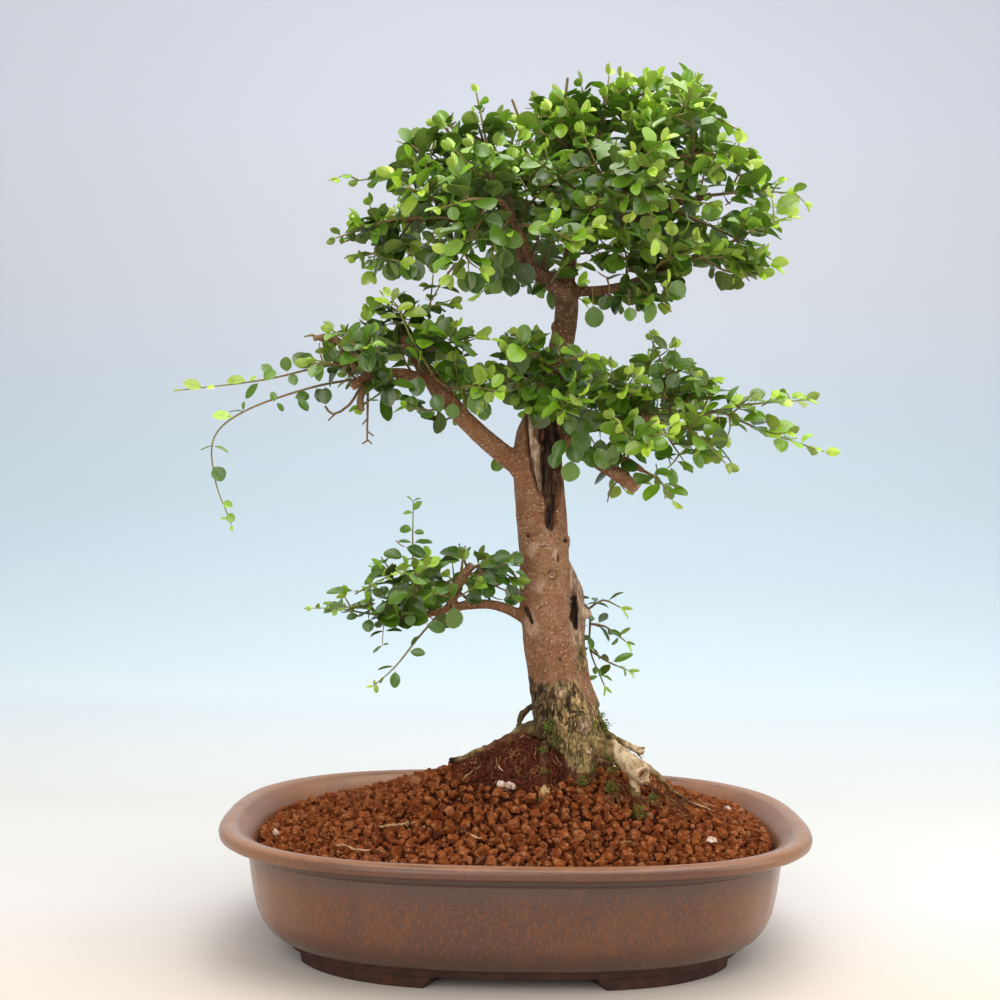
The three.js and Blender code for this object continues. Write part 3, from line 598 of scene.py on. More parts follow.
roots = [
    (6.2, 4.2, root_left[:4]), (4.2, 1.9, root_left[3:]),
    (1.9, 1.2, [(12, 6, 147), (7, 10, 144), (3, 12, 138), (1.8, 10, 131), (1.5, 4, 124)]),
    (8.5, 11.4, front_foot),
    (5, 7, [(40, 2, 158), (45.5, 2, 147), (49.5, 1, 139), (53, 0, 131), (54, 2, 118), (55, 5, 98)]),
    (6.2, 5.9, root_cut), (2.9, 2.5, root_leg), (2.3, 1.2, root_thin), (3.4, 1.5, root_upper),
    (1.4, 0.7, [(72, -10, 124.8), (77, -8, 123.4), (83, -5, 122.4)]),
    (1.1, 0.6, [(74, -10, 123.5), (77.5, -14, 120.6), (80, -18, 117.5)]),
    (7, 2.6, [(32, 14, 134), (22, 40, 122), (12, 66, 96)]),
    (6, 2.4, [(46, 10, 132), (62, 36, 118), (76, 56, 94)]),
    (5, 2.2, [(48, 4, 122), (66, 8, 112), (84, 14, 98)]),
    (3, 2, [(18, -14, 126), (17, -24, 118), (17, -32, 110), (17, -44, 98)]),
]
# swellings over old pruning cuts: place, radius
knots = [
    ((22, -13.6, 234), 2.4), ((27, -16.6, 159), 3.9), ((42, -22, 140), 6.4), ((44.6, -25, 124.6), 3.6),
    ((30.4, -5, 255.6), 3), ((31.6, -2, 252.6), 2), ((-2, -6, 299), 4.2), ((-1, -9, 293), 2.4),
    ((31, 0, 321), 4.6), ((23, -4, 392), 4.6), ((30, 3, 409), 5.2), ((60, -30, 129), 3.8),
    ((66, -36, 126.4), 3), ((45.5, 1, 208), 2.9), ((-3.5, -9, 129), 2.6), ((74, -44, 119.4), 2.8),
    ((80, -47, 109.6), 2.2),
]
wood_voxel = 1.12


def bent_tube(start, end, route, extra=0.25):
    """A tapering round tube along a smooth route, closed at its ends."""
    path = bpy.data.curves.new("limb", "CURVE")
    path.dimensions, path.bevel_depth, path.bevel_resolution = "3D", 1, 4
    path.use_fill_caps, path.resolution_u = True, 8
    line = path.splines.new("BEZIER")
    line.bezier_points.add(len(route) - 1)
    for i, (stop, place) in enumerate(zip(line.bezier_points, route)):
        stop.co = Vector(place) * mm
        stop.handle_left_type = stop.handle_right_type = "AUTO"
        stop.radius = (start + (end - start) * i / (len(route) - 1) + extra) * mm
    tube = bpy.data.objects.new("limb", path)
    bpy.context.scene.collection.objects.link(tube)
    alone(tube)
    bpy.ops.object.convert(target="MESH")
    return bpy.context.object


rows, around = 60, 72
heights = np.linspace(trunk_sections[0][0], trunk_sections[-1][0], rows)
table = np.array(trunk_sections)
body_points, body_faces = [], []
for z in heights:
    x, y, width, depth, stand = (np.interp(z, table[:, 0], table[:, i]) for i in range(1, 6))
    for i in range(around):
        angle = 2 * math.pi * i / around
        reach = 1 + stand * math.cos(ribs_round * angle + 0.6)
        body_points.append(((x + width * reach * math.cos(angle)) * mm,
                            (y + depth * reach * math.sin(angle)) * mm, z * mm))
for row in range(rows - 1):
    for i in range(around):
        a, b = row * around + i, row * around + (i + 1) % around
        body_faces.append((a, b, b + around, a + around))
body_faces += [tuple(range(around - 1, -1, -1)), tuple(range((rows - 1) * around, rows * around))]
wood_parts = [mesh_piece("trunk_wood", body_points, body_faces)]
wood_parts += [bent_tube(*limb) for limb in limbs + roots]
for place, radius in knots:
    bpy.ops.mesh.primitive_uv_sphere_add(segments=24, ring_count=12, radius=radius * mm,
                                         location=Vector(place) * mm)
    bpy.ops.object.transform_apply(location=True, rotation=False, scale=False)
    wood_parts.append(bpy.context.object)
# the callus that has grown round the sawn face of the thick root
cut_face, cut_way = Vector((77.6, -48.6, 113.4)), Vector((0.66, -0.72, -0.2)).normalized()
bpy.ops.mesh.primitive_torus_add(major_segments=32, minor_segments=12,
                                 major_radius=4.7 * mm, minor_radius=1.5 * mm,
                                 location=(cut_face - cut_way * 0.9) * mm,
                                 rotation=cut_way.to_track_quat("Z", "Y").to_euler())
bpy.ops.object.transform_apply(location=True, rotation=True, scale=False)
wood_parts.append(bpy.context.object)
trunk = join_pieces(wood_parts)
trunk.name = "trunk_wood"
remesh = trunk.modifiers.new("one skin", "REMESH")
remesh.mode, remesh.voxel_size = "VOXEL", wood_voxel * mm
ease = trunk.modifiers.new("ease", "SMOOTH")
ease.factor, ease.iterations = 0.5, 4
apply_all(trunk)

count = len(trunk.data.vertices)
place = np.empty(count * 3, np.float32)
trunk.data.vertices.foreach_get("co", place)
place = place.reshape(-1, 3).astype(float)
outward = np.empty(count * 3, np.float32)
trunk.data.vertices.foreach_get("normal", outward)
outward = outward.reshape(-1, 3).astype(float)
x, y, z = (place / mm).T


def rise(value, low, high):
    """0 below low, 1 above high, and a soft slope between."""
    t = np.clip((value - low) / (high - low), 0, 1)
    return t * t * (3 - 2 * t)


def fall(value, low, high):
    """1 below low, 0 above high, and a soft slope between."""
    return 1 - rise(value, low, high)


def patches_of(scale, octaves, seed, stretch=1.0):
    """A cloudy number from about -1 to 1 at each point of the wood: scale is how many patches go in
    a metre, stretch how many times taller than wide they are."""
    shift = Vector((seed, seed * 0.37, -seed))
    spots = place * [scale, scale, scale / stretch]
    return np.array([noise.fractal(Vector(p) + shift, 0.9, 2.1, octaves) for p in spots])


def beside(route, reach):
    """1 at points within reach of a route, and 0 half as far again."""
    nearest = np.full(count, 1e9)
    for a, b in zip(np.array(route, float), np.array(route[1:], float)):
        share = np.clip((place / mm - a) @ (b - a) / ((b - a) @ (b - a)), 0, 1)
        nearest = np.minimum(nearest, np.linalg.norm(place / mm - a - share[:, None] * (b - a), axis=1))
    return fall(nearest, reach, reach * 1.5)


def spots_of(spots):
    """Round patches on the front of the wood: each has its x, height, half width and half height."""
    made = np.zeros(count)
    for sx, sz, half_width, half_height in spots:
        made += np.exp(-((x - sx) / half_width) ** 2 - ((z - sz) / half_height) ** 2)
    return made * facing_front


def ring_of(rx, rz, half_width, half_height, wall):
    """A raised ring on the front of the wood: its place, half width and half height, and how thick
    its wall is as a share of them."""
    far = np.hypot((x - rx) / half_width, (z - rz) / half_height)
    return np.exp(-((far - 1) / wall) ** 2) * facing_front * near_trunk


facing_front = rise(-outward[:, 1], 0.05, 0.45)
near_trunk = fall(np.hypot(x - 27, y), 25, 34)
body_near = fall(np.hypot(x - 34, y + 4), 27, 32)
waver = patches_of(48, 3, 3.0)

# the old bark at the foot reaches less far up on the right
rough_top = 165 - 15 * rise(x, 36, 46) + 4.5 * waver
rough = fall(z, rough_top - 5, rough_top + 7) * np.maximum(body_near, rise(z, 126, 140))
rough = np.maximum(rough, 0.75 * rise(x, 35, 39) * fall(z, 188, 202) * rise(z, 164, 174) * near_trunk)
foot = beside(front_foot[1:], 13) * fall(z, 132, 141)

# the rotten hollow down the front, where the old top was cut away: height, middle x, half width
wound = np.array([(257, 20.8, 0.3), (260, 20.6, 1.2), (265, 21, 3), (272, 20.4, 4.3), (279, 20, 4.2),
                  (286, 19.6, 4.8), (300, 20.2, 5.5), (314, 19.8, 6.5), (326, 19.6, 7), (338, 19.4, 7.2)])
middle = np.interp(z, wound[:, 0], wound[:, 1])
half = np.interp(z, wound[:, 0], wound[:, 2]) * (1 + 0.6 * patches_of(170, 3, 9.0, 2.0))
across = (x - middle) / np.maximum(half, 0.3)
front = rise(-outward[:, 1], 0.15, 0.45) * rise(z, 255, 267) * fall(z, 338, 345) * near_trunk
hollow = np.sqrt(np.clip(1 - across ** 4, 0, 1)) * front
splinters = np.exp(-((z - 281) / 5) ** 2 - ((x - 19) / 4.5) ** 2) * front
lip = np.exp(-((np.abs(across) - 1.35) / 0.35) ** 2) * front
strip_middle = np.interp(z, [285, 299, 317, 340], [14.2, 11.9, 9.3, 7.6])
strip_half = np.interp(z, [285, 290, 299, 317, 340], [0.4, 1.4, 2.6, 3.2, 3.3])
strip = fall(np.abs(x - strip_middle), strip_half, strip_half + 0.7) * front * rise(z, 284, 288)
strip_edge = np.exp(-((np.abs(x - strip_middle) - strip_half - 1.1) / 0.8) ** 2) * front * rise(z, 282, 286)
stain = np.exp(-(np.clip(np.abs(across) - 0.9, 0, None) / 0.5) ** 2) * front * (0.9 + 0.4 * waver)
stain += 0.95 * np.exp(-((x - strip_middle + strip_half + 1.6) / 1.5) ** 2) * front * rise(z, 276, 294)
crack = np.exp(-((z - 251.4 - 0.9 * patches_of(220, 2, 4.0)) / 0.8) ** 2)
crack *= rise(x, 10, 13) * fall(x, 22, 25) * rise(-outward[:, 1], 0.2, 0.5)

# the old deadwood ridge on the right, and the slot that has rotted in it
slot_middle = np.interp(z, [196, 208, 224, 230], [38.6, 37.2, 36.0, 35.4])
slot_half = np.interp(z, [196, 202, 211, 217, 221], [1.0, 2.5, 3.2, 2.5, 0.8])
slot_half *= 1 + 0.5 * patches_of(160, 2, 31.0)
slot = np.exp(-((x - slot_middle) / slot_half) ** 4) * rise(-outward[:, 1], 0.0, 0.3)
slot *= rise(z, 195, 200) * fall(z, 217, 222)
ridge = rise(x, 32, 35) * fall(z, 238, 243) * rise(z, 176, 200) * near_trunk
ridge_foot = rise(x, 33, 37) * fall(z, 190, 204) * rise(z, 160, 172) * near_trunk

# a slit that leans across the front, then short scars in the bark, small shallow eyes and paler
# patches: x, height, half width, half height
slit_lean = np.interp(z, [201, 215], [9.4, 3.2])
slit = np.exp(-((x - slit_lean) / (2.3 + 0.9 * patches_of(300, 2, 13.0))) ** 2) * facing_front
slit *= rise(z, 199, 204) * fall(z, 210, 216)
scar = 0.9 * slit + spots_of(((25.8, 244, 0.9, 5.0), (5.2, 257.6, 1.6, 1.2), (27.4, 180, 1.2, 1.4),
                              (30.6, 255, 2, 2.6)))
eye = spots_of(((21.3, 233.5, 1.5, 1.5), (27, 159, 1.7, 1.5), (43, 139.4, 2.6, 2.4), (45.2, 124.6, 1.5, 1.5)))
# bark that has swollen into a rim round the eye and round the slit
ring = ring_of(21.3, 233.5, 2.0, 2.3, 0.45)
ring += 0.6 * ring_of(7.2, 206.5, 4.2, 9, 0.3) * rise(x - 0.25 * z, -48, -42)
ring *= np.clip(0.75 + 0.8 * patches_of(240, 2, 17.0), 0, 1.2)
scar_rim = spots_of(((7.6, 206.5, 3.2, 7.8), (21.3, 233.5, 2.4, 2.4))) * (1 - np.clip(scar + eye, 0, 1))
pale_patch = spots_of(((23.5, 246, 4, 7.5), (12, 252, 10, 4), (8, 246, 4, 4), (10, 199, 7, 9),
                       (20, 262, 6, 6), (13, 226, 10, 9)))
knob = np.zeros(count)
for kx, ky, kz, size in ((27, -18, 159, 3.8), (42, -24, 139.5, 5.6), (44.6, -27, 124.6, 3)):
    knob += np.exp(-(((x - kx) ** 2 + (y - ky) ** 2 + (z - kz) ** 2) / size ** 2) ** 2)
red_mark = spots_of(((4.6, 243.6, 1.5, 1.6), (6, 259, 3, 1.6)))

# sawn ends: place, the way the cut faces, radius
sawn = [((-75, -20, 383), (-0.5, 0, 0.85), 4.6), ((75, -14, 289), (0.79, -0.26, -0.55), 4.6),
        (tuple(cut_face), tuple(cut_way), 5.6), ((-29, -22, 240), (0.6, 0, 0.8), 3),
        ((-105, -40, 349), (-0.8, -0.2, -0.5), 2.9)]
cut = np.zeros(count)
heart = np.zeros(count)
for spot, way, radius in sawn:
    off = place / mm - np.array(spot)
    way = np.array(way) / np.linalg.norm(way)
    far = np.linalg.norm(off - np.outer(off @ way, way), axis=1)
    facing = rise(outward @ way, 0.45, 0.75) * (np.linalg.norm(off, axis=1) < radius * 2)
    cut = np.maximum(cut, facing)
    heart = np.maximum(heart, facing * np.exp(-(far / (0.46 * radius)) ** 4))

bark_waves = patches_of(45, 2, 1.0)
bark_fine = patches_of(260, 3, 5.0)
crags = patches_of(170, 4, 7.0, 1.6)
furrow = np.abs(patches_of(210, 2, 12.0, 3.0))
fibre = patches_of(420, 2, 21.0, 9.0)
furrows = fall(furrow, 0.02, 0.13)
move = bark_waves * 0.5 + bark_fine * 0.12
move += rough * (crags * 0.6 + 0.5 - furrows * 1.5) * (1 - 0.35 * foot)
move += (ridge + ridge_foot) * (crags * 0.6 + fibre * 0.5)
move += (1 - body_near) * fall(z, 140, 150) * (crags * 0.35 + fibre * 0.3)
move += lip * 0.6 - hollow * (1 - 0.62 * splinters) * (4.4 + 1.4 * fibre) - slot * (3.6 + fibre)
move += strip * 0.3 - strip_edge * 1.3 - crack * 0.8 - scar * 1.7 - eye * 0.9
move += scar_rim * 0.4 + ring * 1.1 + knob * 1.7
move *= np.where(cut > 0.5, 0.3, 1)
place += outward * (move * mm)[:, None]
trunk.data.vertices.foreach_set("co", place.astype(np.float32).ravel())
trunk.data.update()
finish_ease = trunk.modifiers.new("soften", "SMOOTH")
finish_ease.factor, finish_ease.iterations = 0.25, 1
apply_all(trunk)
bpy.ops.object.shade_smooth()

# how high each point lies over the soil, moss in the damp corners, and each root's own colour
over_soil = z - np.array([soil_height(px, py) for px, py in zip(x, y)])
low_front = fall(z, 150, 160)
moss_spots = ((17, -32, 111, 4), (20, -18, 138.5, 4.5), (16.6, -27, 125, 4), (14, -16, 131, 5),
              (24, -22, 130, 5), (22, -20, 118, 7), (50, -14, 138, 5), (51, -22, 126, 5), (52, -3, 146, 4),
              (57, -3, 133, 6), (59, -34, 117, 7), (53, -26, 112, 6), (30, -30, 106, 4), (46, -30, 108, 4),
              (66, -38, 112, 5), (74, -50, 95, 4), (44, 18, 130, 9), (20, 18, 136, 9), (60, 12, 116, 8))
moss = np.zeros(count)
for mx, my, mz, size in moss_spots:
    moss += np.exp(-((x - mx) ** 2 + (y - my) ** 2 + (z - mz) ** 2) / size ** 2)
cream = beside(root_cut[2:], 7.5) * rise(x, 57, 64)
on_roots = np.maximum(beside(root_left[1:], 6), beside(root_upper, 4))
root_wood = fall(z, 134, 142) * np.maximum(1 - body_near, on_roots)
zones = {
    "rot": np.clip(hollow * (1 - 0.5 * splinters) + slot + 0.85 * scar + 0.8 * strip_edge + 0.6 * crack
                   + 0.62 * ring_of(21.3, 233.5, 2.3, 2.5, 0.4), 0, 1),
    "stain": np.clip(stain, 0, 1),
    "dead": np.clip(np.maximum(strip, ridge * (0.95 + 0.6 * waver)), 0, 1),
    "rough": rough,
    "furrow": np.clip(furrows * rough * (1 - 0.35 * foot), 0, 1),
    "foot": foot,
    "cut": cut,
    "heart": np.clip(heart + 0.9 * spots_of(((21.3, 233.5, 1.3, 1.4),)), 0, 1),
    "pale": np.clip(pale_patch + 1.3 * scar_rim + 0.5 * splinters, 0, 1),
    "red": np.clip(red_mark, 0, 1),
    "ring": np.clip(ring, 0, 1),
    "knob": np.clip(knob, 0, 1),
    "root": np.clip(root_wood, 0, 1),
    "cream": np.maximum(cream, 0.9 * beside(root_upper[-2:], 3) * rise(x, 66, 72)),
    "moss": np.clip(moss, 0, 1) * low_front,
    "damp": fall(over_soil, 1, 9) * low_front,
    "dark_end": fall(x, -40, -36) * low_front,
    # painted shade: the wood is painted darker from 300 mm up, where the crown shades it
    "fork": rise(z, 300, 420),
}
for name, values in zones.items():
    paint(trunk, name, values)

bark = new_finish("privet_bark", Roughness=0.74, Specular_IOR_Level=0.32)


def frayed(finish, name, scale, depth, low=0.35, high=0.65):
    """A painted zone with its edge broken up by a cloudy pattern."""
    wisps = times(finish, math_of(finish, "SUBTRACT", cloud(finish, scale, detail=6), 0.5), depth)
    return step_of(finish, math_of(finish, "ADD", painted(finish, name), wisps), low, high)


def over_zone(finish, colour, tone, name, low, high, amount=1):
    """A tone laid over a colour where a painted zone rises from low to high."""
    return layer(finish, step_of(finish, painted(finish, name), low, high, 0, amount), colour, shade(*tone))


# living bark: orange tan with greyer clouds, painted shade that darkens it up in the fork under the crown,
# and many small pale pores
tan = coats(bark, shade(138, 92, 60),
            ((158, 116, 82), 34, 0.7, 5, 0.6, 0.38, 0.62, 1),
            ((124, 92, 60), 95, 1.3, 6, 0.6, 0.5, 0.64, 0.55),
            ((176, 132, 98), 170, 1.8, 6, 0.65, 0.52, 0.68, 0.5),
            ((112, 74, 46), 420, 1.4, 6, 0.7, 0.5, 0.66, 0.4))
tan = over_zone(bark, tan, (98, 68, 42), "fork", 0.0, 0.9, 0.85)
pale = times(bark, painted(bark, "pale"), cloud(bark, 190, 0.8, 8, 0.75))
tan = layer(bark, step_of(bark, pale, 0.3, 0.58, 0, 0.9), tan, shade(204, 168, 142))
tan = coats(bark, tan,
            ((178, 138, 114), 80, 1.4, 8, 0.74, 0.48, 0.66, 0.6),
            ((202, 158, 126), 640, 1.6, 3, 0.6, 0.55, 0.66, 0.55),
            ((84, 51, 30), 560, 1.3, 4, 0.6, 0.45, 0.34, 0.75))
pore_place = add(bark, "Mapping", Vector=add(bark, "TexCoord").outputs["Object"], Scale=(1, 1, 1.5))
pores = add(bark, "TexVoronoi", {"feature": "F1"}, Scale=310.0, Randomness=1.0, Vector=pore_place.outputs[0])
chosen = add(bark, "SeparateColor", Color=pores.outputs["Color"])
pore_mask = times(bark, step_of(bark, pores.outputs["Distance"], 0.32, 0.2),
                  step_of(bark, chosen.outputs["Red"], 0.28, 0.36))
pore_mask = times(bark, pore_mask, step_of(bark, cloud(bark, 60, detail=2), 0.34, 0.56, 0.35, 1))
tan = layer(bark, times(bark, pore_mask, 0.92), tan, shade(216, 176, 142))
tan = coats(bark, tan, ((146, 88, 60), 58, 0.9, 7, 0.68, 0.55, 0.68, 0.5))
tan = over_zone(bark, tan, (200, 158, 124), "ring", 0.3, 0.95, 0.6)
tan = over_zone(bark, tan, (134, 62, 38), "red", 0.3, 0.8, 0.7)

# old bark at the foot: grey-olive plates, dark furrows, orange lichen and moss, and painted shade on its left
# side
plates = coats(bark, shade(74, 52, 27),
               ((214, 180, 126), 380, 0.4, 7, 0.72, 0.4, 0.6, 1),
               ((112, 102, 56), 90, 1, 5, 0.55, 0.48, 0.62, 0.5),
               ((56, 42, 22), 330, 0.35, 6, 0.7, 0.5, 0.38, 0.6),
               ((176, 124, 54), 210, 1, 6, 0.6, 0.6, 0.68, 0.75))
ochre = coats(bark, shade(104, 82, 42), ((200, 174, 116), 260, 0.7, 7, 0.68, 0.36, 0.62, 1))
foot_clouds = times(bark, painted(bark, "foot"), cloud(bark, 110, 0.6, 5))
plates = layer(bark, step_of(bark, foot_clouds, 0.15, 0.6, 0, 0.8), plates, ochre)
plates = over_zone(bark, plates, (38, 26, 14), "furrow", 0.25, 0.9, 0.9)
# painted shade: the old bark is painted darker towards the left of the foot
plates = layer(bark, step_of(bark, height_of(bark, "X"), 0.031, 0.013, 0, 0.6), plates, shade(52, 35, 20))
knob_bark = coats(bark, shade(168, 132, 100), ((222, 190, 156), 400, 1, 5, 0.55, 0.4, 0.6, 1))
plates = layer(bark, step_of(bark, painted(bark, "knob"), 0.3, 0.7, 0, 0.85), plates, knob_bark)
creases = math_of(bark, "ABSOLUTE", math_of(bark, "SUBTRACT", cloud(bark, 240, 0.16, 4, 0.6), 0.5))
crease_mask = times(bark, step_of(bark, creases, 0.03, 0.004), painted(bark, "rough"))
plates = layer(bark, times(bark, crease_mask, 0.6), plates, shade(48, 36, 20))
olive_root = coats(bark, shade(92, 76, 40), ((164, 138, 88), 170, 1, 6, 0.6, 0.38, 0.62, 1))
plates = layer(bark, painted(bark, "root"), plates, olive_root)
cream_root = coats(bark, shade(164, 132, 92), ((226, 202, 164), 230, 1, 7, 0.65, 0.36, 0.6, 1))
plates = layer(bark, frayed(bark, "cream", 240, 0.5), plates, cream_root)
green = coats(bark, shade(58, 70, 18), ((128, 138, 44), 500, 1, 5, 0.7, 0.4, 0.62, 1))
plates = layer(bark, frayed(bark, "moss", 260, 1.3, 0.45, 0.7), plates, green)

# over the living bark: the old plates, soil stains, bleached wood, the rotten wounds and the sawn ends
old_bark_mask = math_of(bark, "MAXIMUM", frayed(bark, "rough", 200, 1.3, 0.2, 0.9), painted(bark, "root"))
skin = layer(bark, step_of(bark, old_bark_mask, 0.1, 0.9), tan, plates)
soil_stain = coats(bark, shade(70, 32, 16), ((118, 66, 36), 420, 1, 6, 0.7, 0.4, 0.62, 1))
skin = layer(bark, times(bark, frayed(bark, "damp", 300, 0.9), 0.85), skin, soil_stain)
bleached = coats(bark, shade(120, 92, 70),
                 ((218, 194, 166), 260, 0.2, 7, 0.68, 0.38, 0.62, 1),
                 ((140, 108, 80), 120, 1, 5, 0.55, 0.54, 0.66, 0.6))
skin = layer(bark, times(bark, frayed(bark, "dead", 140, 0.7), 0.95), skin, bleached)
stained = coats(bark, shade(62, 34, 22), ((118, 74, 48), 420, 0.15, 6, 0.55, 0.4, 0.6, 1))
skin = layer(bark, times(bark, frayed(bark, "stain", 260, 0.9, 0.3, 0.75), 0.85), skin, stained)
rotten = coats(bark, shade(20, 12, 8), ((100, 68, 47), 420, 0.12, 7, 0.65, 0.42, 0.66, 1))
skin = layer(bark, frayed(bark, "rot", 320, 0.6, 0.3, 0.65), skin, rotten)
sawn_wood = coats(bark, shade(176, 140, 104), ((214, 186, 150), 500, 1, 4, 0.55, 0.4, 0.65, 1))
sawn_wood = over_zone(bark, sawn_wood, (128, 78, 54), "heart", 0.25, 0.7)
skin = layer(bark, step_of(bark, painted(bark, "cut"), 0.4, 0.7), skin, sawn_wood)
skin = over_zone(bark, skin, (152, 82, 50), "heart", 0.3, 0.8, 0.6)
skin = layer(bark, painted(bark, "dark_end"), skin, shade(36, 26, 16))
bark_relief = math_of(bark, "ADD", cloud(bark, 620, 0.8, 8, 0.68), times(bark, pore_mask, 0.7))
bark_relief = math_of(bark, "SUBTRACT", bark_relief, times(bark, crease_mask, 0.7))
surface(bark, skin, None, bark_relief, 0.9, 0.0018)
trunk.data.materials.append(bark)
place_piece(trunk, "bark", "trunk")

# Loose bits round the foot: dry and living hair roots of the root ball, tufts of moss, a few pale
# pebbles, a chip of bark and bits of straw. They lie on the soil and on one another.
dry_root_count, live_root_count, cut_root_count = 560, 320, 150
fibre_points, fibre_faces, fibre_tones = [], [], []


def add_fibre(spots, radius, tone):
    """A thin three-sided thread through the given points, with pointed ends."""
    base = len(fibre_points)
    for i, spot in enumerate(spots):
        along = (spots[min(i + 1, len(spots) - 1)] - spots[max(i - 1, 0)]).normalized()
        side = along.orthogonal().normalized()
        up = along.cross(side)
        size = radius * (0.35 if i in (0, len(spots) - 1) else 1)
        for k in range(3):
            angle = 2 * math.pi * k / 3
            fibre_points.append((spot + side * math.cos(angle) * size + up * math.sin(angle) * size) * mm)
    for i in range(len(spots) - 1):
        for k in range(3):
            a, b = base + i * 3 + k, base + i * 3 + (k + 1) % 3
            fibre_faces.append((a, b, b + 3, a + 3))
    last = base + (len(spots) - 1) * 3
    fibre_faces.extend([(base + 2, base + 1, base), (last, last + 1, last + 2)])
    fibre_tones.extend([tone] * (3 * len(spots)))


def crawl(chance, x, y, heading, steps, stride, lift, sway):
    """Points of a thread that creeps over the soil from a place, rising and dipping a little."""
    spots = []
    for _ in range(steps):
        spots.append(Vector((x, y, soil_height(x, y) + 0.9 + chance.uniform(0, lift))))
        heading += chance.gauss(0, sway)
        x += math.cos(heading) * stride
        y += math.sin(heading) * stride
    return spots


for _ in range(dry_root_count):
    far, angle = math.sqrt(draw.random()), draw.uniform(-math.pi, math.pi)
    px = bare_ball["x"] + bare_ball["reach_x"] * far * math.cos(angle) * 1.05
    py = bare_ball["y"] + bare_ball["reach_y"] * far * math.sin(angle) * 1.05
    thread = crawl(draw, px, py, draw.uniform(0, 6.3), draw.randint(5, 9), 1.9, 1.8, 0.6)
    radius = draw.uniform(0.16, 0.34)
    add_fibre(thread, radius, draw.uniform(0.5, 0.75) if draw.random() < 0.12 else draw.uniform(0.0, 0.4))
for _ in range(live_root_count):
    angle = draw.uniform(-2.9, -0.1)
    px = 6 + 40 * math.cos(angle) * draw.uniform(0.2, 0.95)
    py = -8 + 30 * math.sin(angle) * draw.uniform(0.2, 0.95)
    thread = crawl(draw, px, py, angle + draw.gauss(0, 0.6), draw.randint(4, 7), 1.5, 2.4, 0.8)
    radius = draw.uniform(0.14, 0.28)
    add_fibre(thread, radius, draw.uniform(0.6, 0.9) if draw.random() < 0.15 else draw.uniform(0.05, 0.45))
for _ in range(cut_root_count):
    px, py = draw.uniform(54, 104), draw.uniform(-52, -22)
    add_fibre(crawl(draw, px, py, draw.uniform(-1.2, 0.6), draw.randint(4, 7), 1.7, 2.6, 0.6),
              draw.uniform(0.18, 0.4), draw.uniform(0.05, 0.8))
# hair roots that hang from the roots and the front of the foot: the route they hang from, how many
# there are, and how far they hang
for route, amount, drop in ((root_left[2:7], 46, 7), (root_cut[:4], 60, 8), (root_thin[2:], 60, 4),
                            (front_foot[2:5], 40, 5), (root_upper[2:], 14, 3)):
    for _ in range(amount):
        i = draw.randrange(len(route) - 1)
        t = draw.random()
        spot = Vector(route[i]).lerp(Vector(route[i + 1]), t)
        spot += Vector((draw.uniform(-3, 3), draw.uniform(-6, 0), -draw.uniform(0.5, 3)))
        heading = Vector((draw.gauss(0, 0.5), draw.gauss(-0.2, 0.5), -1)).normalized()
        spots = [spot]
        for _ in range(4):
            heading += Vector((draw.gauss(0, 0.4), draw.gauss(0, 0.3), draw.gauss(0, 0.25)))
            heading.normalize()
            spots.append(spots[-1] + heading * drop / 4 * draw.uniform(0.6, 1.3))
        add_fibre(spots, draw.uniform(0.12, 0.24), draw.uniform(0.25, 1.0))
# straw and dry roots that lie on the soil: start, heading, length, radius
straws = ((-106, -86, -0.5, 12, 0.6), (-98, -92, -0.6, 21, 0.75), (-82, -71, -0.1, 22, 0.8),
          (-33, -34, 0.55, 10, 0.6), (-26, -29, 0.6, 7, 0.5), (110, -24, -0.2, 18, 0.5),
          (118, -14, 0.5, 14, 0.45), (-8, -34, 2.0, 9, 0.4), (60, -98, 0.4, 10, 0.5),
          (-20, -96, 2.7, 12, 0.45), (20, 70, 0.4, 22, 0.6), (-70, 60, 1.1, 18, 0.5))
for px, py, heading, reach, radius in straws:
    steps = max(4, round(reach / 3))
    straw = crawl(draw, px, py, heading, steps, reach / steps, 1.2, 0.16)
    add_fibre([s + Vector((0, 0, 1.2)) for s in straw], radius, draw.uniform(0.85, 1.0))
# one straw that stands upright in the soil at the front
upright_straw = ((43.6, -104, 74), (43.8, -104, 80), (43.2, -103, 86), (43.4, -103, 92))
add_fibre([Vector(s) for s in upright_straw], 0.85, 0.4)
# a dry skeleton of fine roots, like a fish bone, that lies on the left
for i in range(14):
    px, py = -81 + i * 1.5, -71.6 - 0.15 * i
    foot = Vector((px, py, soil_height(px, py) + 2.2))
    lean = Vector((0.5, draw.choice((-1, 1)) * draw.uniform(0.6, 1), draw.uniform(-0.3, 0.4)))
    lean *= draw.uniform(2, 4.5)
    add_fibre([foot, foot + lean * 0.5 + Vector((0, 0, 0.4)), foot + lean], 0.32, draw.uniform(0.9, 1.0))

fibres = mesh_piece("hair_roots", fibre_points, fibre_faces)
paint(fibres, "grain", fibre_tones)
root_hair = new_finish("hair_root_skin", Roughness=0.8, Specular_IOR_Level=0.25)
hair_colour = run_of(root_hair, painted(root_hair, "grain"), (0, (74, 24, 12)), (0.35, (112, 46, 24)),
                     (0.6, (134, 92, 54)), (0.85, (178, 142, 94)), (1, (232, 200, 160)))
hair_colour = coats(root_hair, hair_colour, ((86, 48, 28), 600, 1, 4, 0.55, 0.4, 0.65, 0.5))
surface(root_hair, hair_colour, None, cloud(root_hair, 1200), 0.2, 0.0003)
fibres.data.materials.append(root_hair)
place_piece(fibres, "bark")

